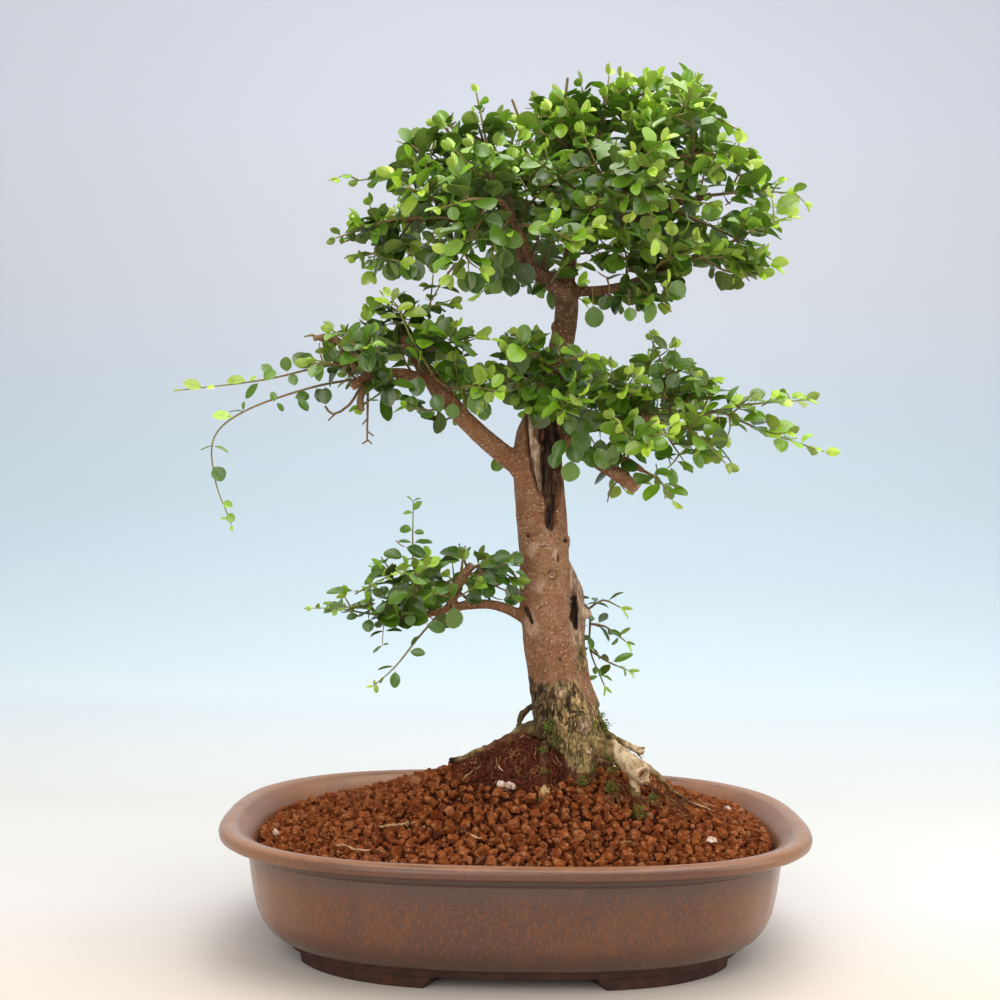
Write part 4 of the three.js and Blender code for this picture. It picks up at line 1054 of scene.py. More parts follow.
# place, radius and tone of each pebble
pebbles = [((-9, -43, 104.6), 3.9, 0.9), ((-5.2, -43.4, 104.8), 3.6, 0.8), ((-2.4, -44, 104.9), 2.6, 0.75),
           ((115, -80, 81.5), 3.6, 0.7), ((-147, -46, 75), 2.8, 0.6), ((140, 20, 78.5), 3.2, 0.5),
           ((30, 84, 92), 3.4, 0.6)]
pale_stone = blotched_finish(
    "pale_pebble", (180, 146, 124),
    (((222, 202, 186), 420, 1, 6, 0.55, 0.38, 0.64, 1), ((150, 104, 78), 900, 1, 4, 0.55, 0.6, 0.7, 0.6)),
    (700, 1, 7), 0.6, 0.001, Roughness=0.7)
place_piece(heap_piece("pale_pebbles", lump_shapes(5, 17, 22, 0.22), pebbles, pale_stone, draw, 50), "soil")

# corners of the chip, from its own middle
chip_points = [(-3.4, -1.4, -7), (2.6, -1.6, -7.5), (4.4, -1.2, -1), (4.8, -0.6, 5), (1.2, -0.4, 8),
               (-2.6, -0.8, 5.5), (-4.6, -1.2, -1), (-3, 1.6, -6.6), (2.4, 1.4, -7), (4, 1.8, 0), (4, 2, 5),
               (0.8, 1.6, 7.4), (-2.4, 1.6, 5), (-4, 1.6, -1.4), (0.4, -2.6, 0.5), (1.2, -2.2, 4)]
chip = mesh_piece("bark_chip", [((17 + x * 0.8) * mm, (-44.5 + y + z * 0.35) * mm, (99.5 + z * 0.8) * mm)
                                for x, y, z in chip_points], [])
alone(chip)
bpy.ops.object.mode_set(mode="EDIT")
bpy.ops.mesh.select_all(action="SELECT")
bpy.ops.mesh.convex_hull()
bpy.ops.mesh.subdivide(number_cuts=3, smoothness=0.4, fractal=0.35, seed=4)
bpy.ops.mesh.normals_make_consistent(inside=False)
bpy.ops.object.mode_set(mode="OBJECT")
bpy.ops.object.shade_smooth_by_angle(angle=math.radians(40))
chip.data.materials.append(blotched_finish(
    "mossy_bark_chip", (116, 84, 48),
    (((192, 160, 112), 300, 1, 6, 0.55, 0.4, 0.6, 1), ((110, 106, 44), 170, 1, 5, 0.55, 0.48, 0.6, 0.8)),
    (500, 1, 8), 0.8, 0.001, Roughness=0.9))
place_piece(chip, "bark")

# moss: cushions of short green blades: place, half width, blades
cushions = [((17.2, -33, 110), 4.2, 150), ((20, -20.4, 138), 3.4, 90), ((16.6, -28, 124.4), 2.4, 50),
            ((41, -35, 106.4), 3.2, 80), ((59, -41, 104), 4.2, 130), ((74.4, -60, 93.4), 4.6, 170),
            ((51, -25, 126.5), 3.4, 90), ((83, -50, 100), 3.4, 80), ((57, -6, 137), 4, 110),
            ((54, -9, 143), 3, 70), ((24, -25, 129), 3, 70), ((60, -33, 114), 3.6, 90),
            ((14, 20, 124), 5, 130), ((62, 24, 112), 5, 130), ((30, 22, 120), 5, 120)]
moss_points, moss_faces, moss_tones = [], [], []
for centre, reach, blades in cushions:
    for _ in range(blades):
        way = Vector((draw.gauss(0, 1), draw.gauss(-0.5, 1), draw.gauss(0.4, 0.8))).normalized()
        root = Vector(centre) + Vector((draw.gauss(0, 0.5), draw.gauss(0, 0.3), draw.gauss(0, 0.45))) * reach
        side = way.orthogonal().normalized() * draw.uniform(0.22, 0.4)
        top = root + way * draw.uniform(1.1, 2.4)
        base = len(moss_points)
        moss_points += [root - side, root + side, root + way.cross(side), top]
        moss_faces += [(base + a, base + b, base + c)
                       for a, b, c in ((0, 1, 3), (1, 2, 3), (2, 0, 3), (0, 2, 1))]
        moss_tones += [draw.random()] * 4
moss_piece = mesh_piece("moss_tufts", [p * mm for p in moss_points], moss_faces)
paint(moss_piece, "grain", moss_tones)
face_outwards(moss_piece)
moss_green = new_finish("moss_green", Roughness=0.75)
moss_tint = over_zone(moss_green, shade(54, 72, 18), (128, 146, 50), "grain", 0, 1)
moss_tint = coats(moss_green, moss_tint, ((86, 78, 28), 260, 1, 3, 0.55, 0.5, 0.7, 0.5))
surface(moss_green, moss_tint, None, cloud(moss_green, 900), 0.2, 0.0003)
moss_piece.data.materials.append(moss_green)
place_piece(moss_piece, "foliage")

# Sprays: shoots of the last two years with their leaves in opposite pairs. The wood is tan at its
# foot and green at its tip, the old leaves dark and glossy, the youngest small and lime green.
# A shoot is a route from its base to its tip; the first one leaves the wood, the next the first.
sprays = {
    "crown_left": [
        [(-42, -18, 494), (-70, -20, 487), (-104, -20, 481)],
        [(-56, -19, 491), (-68, -10, 503), (-82, -2, 511)],
    ],
    "crown_left_low": [
        [(-80, -24, 455), (-97, -28, 448), (-114, -30, 439)],
        [(-88, -26, 452), (-91, -38, 436), (-93, -42, 421)],
    ],
    "crown_left_front": [[(-42, -21, 456), (-58, -44, 466), (-74, -62, 468)]],
    "crown_left_back": [
        [(-50, 60, 482), (-68, 72, 482), (-88, 84, 476)],
        [(-60, 67, 482), (-76, 62, 464), (-88, 58, 448)],
    ],
    "crown_left_top": [
        [(-26, 2, 512), (-40, 4, 520), (-56, 2, 524)],
        [(-33, 3, 516), (-24, 12, 524), (-12, 16, 530)],
    ],
    "crown_front_left": [
        [(-14, -82, 456), (-30, -96, 454), (-48, -108, 446)],
        [(-22, -89, 455), (-30, -88, 434), (-42, -86, 412)],
    ],
    "crown_front_low": [[(-6, -58, 447), (12, -84, 440), (28, -106, 428)]],
    "crown_top": [
        [(50, 14, 524), (54, 18, 544), (56, 22, 562)],
        [(52, 16, 534), (26, 12, 532), (0, 6, 530)],
    ],
    "crown_top_right": [[(47, 15, 512), (70, 20, 538), (88, 24, 560)]],
    "crown_top_front": [
        [(43, 15, 494), (30, -14, 512), (20, -40, 518)],
        [(43, 15, 500), (22, 2, 514), (2, -4, 519)],
    ],
    "crown_right_top": [
        [(96, 4, 528), (106, 6, 542), (112, 6, 555)],
        [(100, 5, 534), (119, -2, 530), (136, -8, 520)],
    ],
    "crown_right_back_top": [[(74, 6, 510), (88, 34, 518), (100, 58, 518)]],
    "crown_right": [
        [(122, 4, 480), (150, 8, 484), (172, 12, 484)],
        [(134, 6, 482), (142, 14, 498), (148, 18, 511)],
    ],
    "crown_right_low": [[(92, 5, 472), (124, -8, 456), (158, -14, 436)]],
    "crown_right_back": [[(78, 5, 468), (104, 34, 462), (134, 52, 456)]],
    "crown_back_right": [
        [(68, 70, 486), (86, 88, 488), (104, 102, 482)],
        [(76, 78, 487), (90, 84, 468), (98, 90, 450)],
    ],
    "crown_back": [
        [(24, 64, 514), (8, 82, 516), (-10, 94, 510)],
        [(17, 71, 515), (34, 84, 526), (48, 90, 532)],
    ],
    "crown_fork_right": [
        [(126, -33, 441), (146, -34, 452), (164, -30, 459)],
        [(134, -33, 446), (133, -32, 426), (128, -30, 408)],
    ],
    "crown_fork_low": [
        [(65, -14, 418), (80, -28, 411), (92, -40, 398)],
        [(66, -15, 419), (64, -30, 436), (54, -44, 448)],
        [(74, -18, 421), (88, -36, 430), (102, -46, 434)],
    ],
    "crown_front": [
        [(52, -76, 474), (60, -94, 476), (70, -112, 470)],
        [(56, -85, 475), (70, -90, 456), (76, -92, 434)],
    ],
    "crown_front_mid": [[(43, -36, 465), (20, -62, 476), (0, -82, 484)]],
    "crown_back_low": [
        [(4, 70, 440), (-12, 88, 438), (-28, 106, 430)],
        [(-3, 78, 440), (22, 96, 436), (44, 106, 426)],
    ],
    "crown_front_right": [
        [(94, -48, 492), (114, -62, 490), (130, -76, 482)],
        [(102, -54, 492), (100, -62, 510), (92, -68, 524)],
    ],
    "mid_left_tip": [[(-103, -38, 366), (-126, -46, 360), (-158, -56, 351), (-206, -60, 344)]],
    "mid_left_hook": [
        [(-97, -37, 355), (-128, -46, 348), (-166, -56, 333),
         (-185, -60, 316), (-184, -60, 290), (-174, -60, 264)],
    ],
    "mid_left_end": [[(-126, -38, 379), (-130, -37, 381), (-135, -36, 380)]],
    "mid_left_top": [
        [(-75, -20, 383), (-80, -22, 395), (-87, -24, 407)],
        [(-79, -22, 393), (-60, -30, 400), (-46, -34, 402)],
    ],
    "mid_left_inner": [[(-66, -20, 370), (-50, -38, 376), (-28, -52, 380)]],
    "mid_left_front": [[(-50, -18, 348), (-36, -44, 350), (-16, -66, 346)]],
    "mid_left_back": [
        [(-61, -20, 363), (-78, 4, 376), (-100, 20, 384)],
        [(-71, -7, 371), (-62, 18, 374), (-50, 42, 374)],
    ],
    "mid_left_low": [
        [(-111, -38, 376), (-106, -54, 386), (-100, -70, 390)],
        [(-108, -48, 382), (-94, -60, 378), (-84, -74, 366)],
    ],
    "mid_right": [
        [(122, 25, 339), (150, 28, 346), (190, 30, 350)],
        [(132, 26, 342), (165, 36, 329), (206, 40, 316)],
    ],
    "mid_right_upright": [[(80, 20, 335), (84, 16, 362), (87, 12, 386)]],
    "mid_right_low": [[(92, 21, 336), (112, 2, 326), (132, -6, 306)]],
    "mid_right_hanging": [[(79, -14, 300), (88, -24, 294), (95, -32, 282)]],
    "mid_right_stub": [[(60, -9, 301), (72, -36, 318), (88, -56, 322)]],
    "mid_right_front": [[(53, 15, 331), (58, -16, 346), (62, -48, 348)]],
    "mid_right_back": [
        [(66, 18, 333), (78, 46, 344), (92, 72, 344)],
        [(77, 43, 343), (104, 54, 344), (128, 62, 338)],
    ],
    "mid_right_top": [[(104, 23, 337), (114, 30, 352), (130, 34, 364)]],
    "mid_front": [
        [(24, -46, 357), (8, -62, 368), (-8, -72, 372)],
        [(17, -53, 363), (38, -66, 368), (54, -76, 364)],
    ],
    "mid_front_low": [[(22, -30, 352), (24, -58, 342), (24, -82, 332)]],
    "mid_back": [
        [(2, 64, 360), (-8, 88, 364), (-18, 108, 360)],
        [(-2, 73, 362), (-26, 82, 360), (-50, 86, 352)],
    ],
    "mid_back_right": [[(8, 40, 354), (34, 62, 364), (50, 84, 364)]],
    "low_tip": [[(-60, -28, 207), (-92, -38, 209), (-128, -42, 216)]],
    "low_upright": [[(-54, -26, 210), (-62, -28, 226), (-66, -30, 242), (-66.4, -30, 279.5)]],
    "low_drooping": [
        [(-47, -24, 211.5), (-52, -36, 206), (-61.5, -44, 195), (-75.5, -46, 177), (-89, -46, 165)],
    ],
    "low_stub": [
        [(-33, -22, 234), (-22, -26, 240), (-2, -26, 231)],
        [(-26, -24, 238), (-16, -32, 228), (0, -32, 221)],
    ],
    "low_back": [[(-28, -18, 214), (-46, 8, 226), (-64, 28, 230)]],
    "low_front": [[(-42, -24, 212), (-42, -46, 220), (-50, -64, 224)]],
    "low_left_top": [[(-57, -27, 208), (-78, -16, 228), (-96, -10, 238)]],
    "trunk_back": [
        [(30, 10, 217), (48, 36, 208), (50, 42, 180), (60, 44, 156)],
        [(50, 42, 180), (62, 46, 172), (76, 48, 166)],
        [(48, 36, 208), (58, 40, 214), (70, 44, 209)],
        [(49, 38, 198), (60, 42, 196), (74, 44, 186)],
    ],
}
# where each point of a blade lies: share of its length, and half width there
blade_rows = [(0.11, 0.05), (0.21, 0.49), (0.37, 0.87), (0.57, 1.0), (0.77, 0.87), (0.93, 0.49)]
blade_columns = (-1.0, -0.5, 0.0, 0.5, 1.0)
leaf_length, leaf_slimness, leaf_thickness = (13.5, 19.5), (0.67, 0.84), 0.28
# leaves high up and on the right are painted lighter and younger in tone: partly younger growth, partly
# painted light where the light falls on the crown
sunlit, sunny_heights, sunny_side = 0.16, (430, 560), (60, 180)
pair_step, shoot_radius = 9.6, (1.15, 0.5)

# one blade, laid out flat once and then bent into place for each leaf
blade_spots = [(0.0, 0.0, 0)]
for share, half in blade_rows:
    blade_spots += [(share, s * half, 0) for s in blade_columns]
blade_spots.append((1.0, 0.0, 0))
top_count = len(blade_spots)
for share, half in blade_rows:
    blade_spots += [(share, s * half, 1) for s in blade_columns[1:-1]]
blade_spots = np.array(blade_spots)
blade_across = np.array([0.0] + list(blade_columns) * len(blade_rows) + [0.0] + list(
    blade_columns[1:-1]) * len(blade_rows))
tip, last_row, last_column = top_count - 1, len(blade_rows) - 1, len(blade_columns) - 1


def top_spot(row, column):
    """Which point of the upper side lies in this row and column."""
    return 1 + row * len(blade_columns) + column


def under_spot(row, column):
    """Which point of the underside lies there: at both edges it is the upper side's own."""
    if column in (0, last_column):
        return top_spot(row, column)
    return top_count + row * (last_column - 1) + column - 1


upper_faces, under_faces = [], []
for column in range(last_column):
    upper_faces.append((0, top_spot(0, column + 1), top_spot(0, column)))
    under_faces.append((0, under_spot(0, column), under_spot(0, column + 1)))
    upper_faces.append((tip, top_spot(last_row, column), top_spot(last_row, column + 1)))
    under_faces.append((tip, under_spot(last_row, column + 1), under_spot(last_row, column)))
    for row in range(last_row):
        upper_faces.append((top_spot(row, column), top_spot(row, column + 1),
                            top_spot(row + 1, column + 1), top_spot(row + 1, column)))
        under_faces.append((under_spot(row, column + 1), under_spot(row, column),
                            under_spot(row + 1, column), under_spot(row + 1, column + 1)))


class Growth:
    """What has grown on one spray so far: its points, faces, and what each is."""

    def __init__(self, seed):
        self.points, self.faces, self.kinds, self.ages, self.tones, self.maps = [], [], [], [], [], []
        self.count = 0
        self.outline, self.opening = None, None
        self.slim, self.scatter = 1.0, 0.36
        self.chance = random.Random(seed)

    def put(self, points, faces, kind, age, tone, maps):
        """Adds a part: kind is 0 for wood, 1 for the upper side of a leaf, 2 for its underside."""
        self.points.append(points)
        self.faces += [tuple(i + self.count for i in face) for face in faces]
        self.kinds += kind
        self.ages.append(np.broadcast_to(age, len(points)))
        self.tones.append(np.full(len(points), tone))
        self.maps.append(maps)
        self.count += len(points)

    def blade(self, base, along, face, length, slimness, age, bend, fold):
        """One leaf, bent down along its length and folded up along its midrib, if the pad has room."""
        along = along.normalized()
        if self.outline and not inside(self.outline, base + along * length * 0.6):
            return
        if self.outline and base.y < 4 and inside(self.opening, base + along * length * 0.55):
            return
        # painted light: leaves high up or on the right of a pad are shifted to the lighter, younger greens
        if self.outline:
            age = min(1, age + sunlit * (rise(base.z, *sunny_heights) + rise(base.x, *sunny_side)))
        face = (face - along * face.dot(along)).normalized()
        across = along.cross(face)
        share, half, under = blade_spots.T
        width = length * slimness * self.slim / 2
        reach = np.sin(bend * share) / bend * length
        height = (np.cos(bend * share) - 1) / bend * length
        side = half * width
        wave = self.chance.uniform(-0.05, 0.05) * length * np.sin(share * 7 + self.chance.uniform(0, 6))
        height = height + np.abs(side) * math.sin(fold) + wave * np.abs(half) - under * leaf_thickness
        spots = (np.outer(reach, along) + np.outer(side * math.cos(fold), across)
                 + np.outer(height, face) + np.array(base))
        maps = np.column_stack([blade_across * 0.5 + 0.5, share])
        kinds = [1] * len(upper_faces) + [2] * len(under_faces)
        self.put(spots * mm, upper_faces + under_faces, kinds, age, self.chance.random(), maps)

    def stem(self, route, start, end, ages, sides=5):
        """A thin tapering stem along a route, closed at both ends."""
        spots, faces = [], []
        side = None
        count = len(route)
        for i, place in enumerate(route):
            along = (route[min(i + 1, count - 1)] - route[max(i - 1, 0)]).normalized()
            if side is None:
                side = along.orthogonal().normalized()
            side = (side - along * side.dot(along)).normalized()
            up = along.cross(side)
            radius = start + (end - start) * i / (count - 1)
            for k in range(sides):
                angle = 2 * math.pi * k / sides
                spots.append(place + side * math.cos(angle) * radius + up * math.sin(angle) * radius)
        for i in range(count - 1):
            for k in range(sides):
                a, b = i * sides + k, i * sides + (k + 1) % sides
                faces.append((a, b, b + sides, a + sides))
        faces += [tuple(range(sides - 1, -1, -1)), tuple(range((count - 1) * sides, count * sides))]
        age = np.repeat(np.linspace(*ages, count), sides)
        maps = np.column_stack([np.tile(np.linspace(0, 1, sides), count),
                                np.repeat(np.linspace(0, 1, count), sides)])
        self.put(np.array(spots) * mm, faces, [0] * len(faces), age, self.chance.random(), maps)


def smooth_route(stops, step=5.0):
    """Points a few millimetres apart on a smooth line through the stops."""
    stops = [Vector(s) for s in stops]
    ends = [stops[0] * 2 - stops[1], *stops, stops[-1] * 2 - stops[-2]]
    route = []
    for a, b, c, d in zip(ends, ends[1:], ends[2:], ends[3:]):
        count = max(2, round((c - b).length / step))
        for i in range(count):
            t = i / count
            route.append(0.5 * (2 * b + (c - a) * t + (2 * a - 5 * b + 4 * c - d) * t * t
                                + (3 * b - a - 3 * c + d) * t ** 3))
    return route + [stops[-1]]


def along_route(route, far):
    """The point that lies far along a route, and the way the route runs there."""
    for a, b in zip(route, route[1:]):
        piece = (b - a).length
        if far <= piece or b is route[-1]:
            return a + (b - a) * min(far / piece, 1), (b - a).normalized()
        far -= piece


def leaf_face(chance, place, middle, scatter):
    """The way a blade faces: out of the crown, up to the light, and a little anyhow."""
    out = place - middle
    out = Vector((out.x, out.y, out.z * 0.5))
    out.normalize()
    anyhow = Vector((chance.gauss(0, 1), chance.gauss(0, 1), chance.gauss(0, 1))) * scatter
    return out * 0.54 + Vector((0, 0, 0.85)) + anyhow


def grow_shoot(growth, stops, radius, ages, middle, side_shoots, leaf_scale=1.0, first=6.0, step=pair_step):
    """A shoot with its leaves in opposite pairs, each pair a quarter turn from the last."""
    chance = growth.chance
    route = smooth_route(stops)
    if growth.outline:
        beyond = [i for i, place in enumerate(route) if not inside(growth.outline, place)]
        if beyond and beyond[0] < 3 and radius[0] < 0.95:
            return
        route = route[:beyond[0]] if beyond and beyond[0] > 2 else route
    length = sum((b - a).length for a, b in zip(route, route[1:]))
    growth.stem(route, radius[0], radius[1], ages)
    far = first + chance.uniform(0, 3)
    quarter = chance.random() < 0.5
    while far < length - 3:
        share = far / length
        place, axis = along_route(route, far)
        level = axis.cross(Vector((0, 0, 1)))
        level = level.normalized() if level.length > 0.1 else Vector((1, 0, 0))
        out = level if quarter else (level * chance.choice((-0.55, 0.55)) + level.cross(axis)).normalized()
        quarter = not quarter
        turn = chance.uniform(-0.5, 0.5)
        out = (out * math.cos(turn) + axis.cross(out) * math.sin(turn)).normalized()
        age = ages[0] + (ages[1] - ages[0]) * share ** 1.6
        for way in (out, -out):
            if side_shoots and chance.random() < side_shoots * (0.4 if way.z < -0.55 else 1) and share < 0.86:
                reach = chance.uniform(0.55, 1) * (26 - 12 * share)
                lean = (axis * 0.55 + way * 0.85 + Vector((0, 0, 0.16))).normalized()
                bow = Vector((chance.uniform(-3, 3), chance.uniform(-3, 3), chance.uniform(0, 4)))
                knee = place + lean * reach * 0.5
                end = place + lean * reach + bow
                grow_shoot(growth, [place, knee, end], (0.75, 0.42), (age * 0.8 + 0.1, min(age + 0.35, 1)),
                           middle, 0, leaf_scale * 0.97, 4.0, step * 0.88)
            if chance.random() < 0.1:
                continue
            if way.z < -0.4:
                way = (way + Vector((0, 0, 0.55))).normalized()
            size = chance.uniform(*leaf_length) * leaf_scale * (1 - 0.42 * rise(share, 0.55, 1.0))
            along = axis * chance.uniform(0.25, 0.6) + way + Vector((0, 0, chance.uniform(-0.25, 0.2)))
            face = leaf_face(chance, place, middle, growth.scatter)
            growth.blade(place + way * radius[1], along, face, size,
                         chance.uniform(*leaf_slimness), min(max(age + chance.gauss(0, 0.1), 0), 1),
                         chance.uniform(0.15, 0.75), chance.uniform(0.08, 0.42))
        far += step * chance.uniform(0.8, 1.25) * (1 - 0.3 * share)
    end, axis = route[-1], (route[-1] - route[-2]).normalized()
    level = axis.orthogonal().normalized()
    for way in (level, -level):
        growth.blade(end, axis + way * 0.45, way.cross(axis) + Vector((0, 0, 0.7)),
                     chance.uniform(8, 12) * leaf_scale, 0.6, min(ages[1] + 0.12, 1),
                     chance.uniform(0.2, 0.5), 0.3)
    growth.blade(end, axis, Vector((0, 0, 1)) + level * 0.3, chance.uniform(4, 7), 0.5,
                 min(ages[1] + 0.2, 1), 0.2, 0.3)


def spray_piece(name, growth, finishes):
    """The mesh of one spray, with its wood and both sides of its leaves."""
    piece = mesh_piece(name, np.concatenate(growth.points), growth.faces)
    made = piece.data
    made.polygons.foreach_set("material_index", growth.kinds)
    paint(piece, "age", np.concatenate(growth.ages))
    paint(piece, "tone", np.concatenate(growth.tones))
    corners = np.empty(len(made.loops), np.int32)
    made.loops.foreach_get("vertex_index", corners)
    made.uv_layers.new(name="blade").data.foreach_set(
        "uv", np.concatenate(growth.maps)[corners].astype(np.float32).ravel())
    for finish in finishes:
        made.materials.append(finish)
    alone(piece)
    bpy.ops.object.shade_smooth_by_angle(angle=math.radians(65))
    return piece


shoot_bark = new_finish("shoot_bark", Roughness=0.6)
stem_colour = run_of(shoot_bark, painted(shoot_bark, "age"), (0, (92, 68, 44)), (0.25, (128, 100, 62)),
                     (0.55, (134, 128, 58)), (1, (150, 158, 70)))
stem_colour = coats(shoot_bark, stem_colour, ((84, 62, 42), 700, 1, 4, 0.55, 0.4, 0.65, 0.5))
surface(shoot_bark, stem_colour, None, cloud(shoot_bark, 900), 0.3, 0.0004)


def leaf_finish(name, greens, rib, rim, glow, glow_share, **sockets):
    """A leaf's skin: its green by age, with a pale midrib, faint side veins and a thin light rim."""
    finish = new_finish(name, **sockets)
    greens_by_age = [(i / (len(greens) - 1), green) for i, green in enumerate(greens)]
    colour = run_of(finish, painted(finish, "age"), *greens_by_age)
    colour = over_zone(finish, colour, (104, 126, 52), "tone", 0.55, 1.0, 0.5)
    colour = over_zone(finish, colour, (34, 60, 12), "tone", 0.4, 0.0, 0.55)
    colour = coats(finish, colour, ((122, 140, 52), 190, 1, 5, 0.55, 0.45, 0.72, 0.35))
    spot = add(finish, "SeparateXYZ", Vector=add(finish, "UVMap", {"uv_map": "blade"}).outputs["UV"])
    side = math_of(finish, "ABSOLUTE", math_of(finish, "SUBTRACT", spot.outputs["X"], 0.5))
    slant = math_of(finish, "SUBTRACT", times(finish, spot.outputs["Y"], 7.0), times(finish, side, 3.6))
    veins = math_of(finish, "ABSOLUTE", math_of(finish, "SUBTRACT", math_of(finish, "FRACT", slant), 0.5))
    vein_mask = step_of(finish, veins, 0.06, 0.0, 0, 0.2)
    rib_mask = step_of(finish, side, 0.03, 0.01, 0, 0.6)
    colour = layer(finish, vein_mask, colour, shade(*rib))
    colour = layer(finish, rib_mask, colour, shade(*rib))
    colour = layer(finish, step_of(finish, side, 0.468, 0.495, 0, 0.6), colour, shade(*rim))
    sunk = times(finish, math_of(finish, "ADD", rib_mask, vein_mask), -0.8)
    surface(finish, colour, None, math_of(finish, "ADD", sunk, cloud(finish, 260, detail=3)), 0.35, 0.0006)
    lit = add(finish, "BsdfTranslucent", Color=layer(finish, 1.0, colour, glow, "MULTIPLY"))
    mixed = add(finish, "MixShader", Fac=glow_share)
    nodes = finish.node_tree.nodes
    join_to(finish, mixed.inputs[1], nodes["Principled BSDF"].outputs[0])
    join_to(finish, mixed.inputs[2], lit.outputs[0])
    join_to(finish, nodes["Material Output"].inputs["Surface"], mixed.outputs[0])
    return finish


leaf_upper = leaf_finish(
    "leaf_upper_side", [(52, 88, 19), (80, 122, 29), (118, 166, 44), (166, 208, 56), (214, 236, 90)],
    (118, 150, 66), (156, 184, 100), (1.8, 2.0, 0.5, 1), 0.28,
    Roughness=0.26, Specular_IOR_Level=0.9, Coat_Weight=0.15, Coat_Roughness=0.2)
leaf_under = leaf_finish(
    "leaf_underside", [(88, 116, 54), (104, 132, 54), (130, 156, 60), (166, 192, 72), (202, 220, 96)],
    (150, 170, 110), (160, 182, 116), (1.5, 1.8, 0.7, 1), 0.25, Roughness=0.55)

# the shape each pad is clipped to, as it shows from the front: sideways and up, in millimetres
pad_outlines = {
    "crown": [
        (-122, 436), (-112, 462), (-112, 487), (-92, 494), (-86, 512), (-72, 518), (-56, 528), (-34, 533),
        (-14, 534), (4, 541), (20, 552), (46, 562), (72, 558), (88, 568), (106, 564), (122, 544), (138, 524),
        (152, 502), (168, 490), (182, 488), (184, 472), (176, 458), (176, 430), (140, 422), (126, 424),
        (116, 400), (96, 402), (74, 398), (46, 388), (26, 396), (8, 418), (-20, 418), (-36, 394), (-58, 386),
        (-76, 396), (-96, 408), (-104, 426),
    ],
    "mid": [
        (-214, 350), (-196, 360), (-164, 370), (-136, 382), (-104, 398), (-94, 416), (-76, 410), (-54, 406),
        (-40, 418), (-22, 402), (0, 392), (30, 392), (46, 374), (74, 378), (86, 392), (104, 384), (120, 362),
        (160, 354), (198, 352), (214, 312), (196, 312), (150, 318), (136, 298), (104, 276), (86, 286),
        (60, 286), (36, 294), (26, 316), (4, 326), (-30, 324), (-60, 330), (-92, 334), (-116, 330),
        (-150, 336), (-200, 330), (-214, 340),
    ],
    "low": [
        (-136, 214), (-125, 224), (-100, 232), (-88, 247), (-74, 252), (-53, 254), (-35, 252), (-23, 250),
        (3, 245), (5, 213), (-10, 215), (-35, 214), (-38, 201), (-48, 196), (-70, 201), (-94, 199),
        (-110, 204), (-121, 211),
    ],
}
# an opening in each pad where the wood shows between the leaves, given like the pad's outline
openings = {
    "crown": [(-8, 458), (7, 458), (22, 430), (34, 420), (20, 415), (2, 424)],
    "mid": [
        (-142, 392), (-118, 396), (-92, 380), (-66, 372), (-54, 366), (-32, 346), (-32, 326), (-50, 330),
        (-74, 352), (-94, 343), (-112, 346), (-120, 362), (-138, 372),
    ],
    "low": [
        (-47, 205), (-47, 218), (-46, 226), (-46, 236), (-32, 245), (-22, 240), (-30, 226), (-26, 217),
        (-8, 217), (2, 203), (-20, 203),
    ],
}
camera_away, camera_across, camera_height = 900, -12.3, 280.5


def shows_at(place):
    """Where a point shows from the front, moved to the plane of the trunk."""
    nearer = camera_away / (camera_away + place.y)
    return (camera_across + (place.x - camera_across) * nearer,
            camera_height + (place.z - camera_height) * nearer)


def inside(outline, place):
    """Whether a point shows inside a pad's outline."""
    x, z = shows_at(place)
    crossings = 0
    for (x0, z0), (x1, z1) in zip(outline, outline[1:] + outline[:1]):
        if (z0 > z) != (z1 > z) and x < x0 + (x1 - x0) * (z - z0) / (z1 - z0):
            crossings += 1
    return crossings % 2 == 1


growths, middles = {}, {}
# shoots that stand out on their own, with leaves only where they are set one by one
bare_sprays = ("mid_left_tip", "mid_left_hook", "low_upright", "low_drooping")
# what the leaves of each pad, or of one side of it, turn away from
pad_middles = {"crown": (24, 0, 452), "mid": (0, 0, 340), "low": (-30, 0, 200), "trunk": (20, 0, 190),
               "mid_left": (-70, 0, 350), "mid_right": (90, 0, 325)}
# how often side shoots leave a shoot, where it is less often than elsewhere
few_sides = {"mid_right": 0.12, "mid_left_low": 0.1, "low_stub": 0.15, "low_front": 0.3, "mid_right_low": 0.3,
             "mid_right_hanging": 0.2, "mid_right_upright": 0.35, "mid_right_top": 0.35, "trunk_back": 0}
side_share, side_radius, sucker_step = 0.55, (0.95, 0.45), 10
for number, (name, shoots) in enumerate(sprays.items()):
    growth = growths[name] = Growth(100 + number)
    pad, side = name.split("_")[0], "_".join(name.split("_")[:2])
    middles[name] = Vector(pad_middles.get(side, pad_middles[pad]))
    growth.outline = None if name in bare_sprays else pad_outlines.get(pad)
    growth.opening = openings.get(pad)
    ages = (0.05, 0.55) if pad == "low" else (0.3, 0.85) if side == "mid_right" else (0.12, 0.75)
    leaf_scale, step = 1.0, pair_step
    if name == "mid_right":
        middles[name], growth.scatter, ages = Vector((150, 130, 250)), 0.16, (0.45, 0.95)
    elif name == "trunk_back":
        growth.slim, leaf_scale, step = 0.46, 0.9, sucker_step
    if name in bare_sprays:
        growth.stem(smooth_route(shoots[0]), 0.9, 0.35, (0.12, 0.7))
        continue
    for order, stops in enumerate(shoots):
        grow_shoot(growth, stops, side_radius if order else shoot_radius, ages, middles[name],
                   few_sides.get(name, side_share), leaf_scale, 6, step)

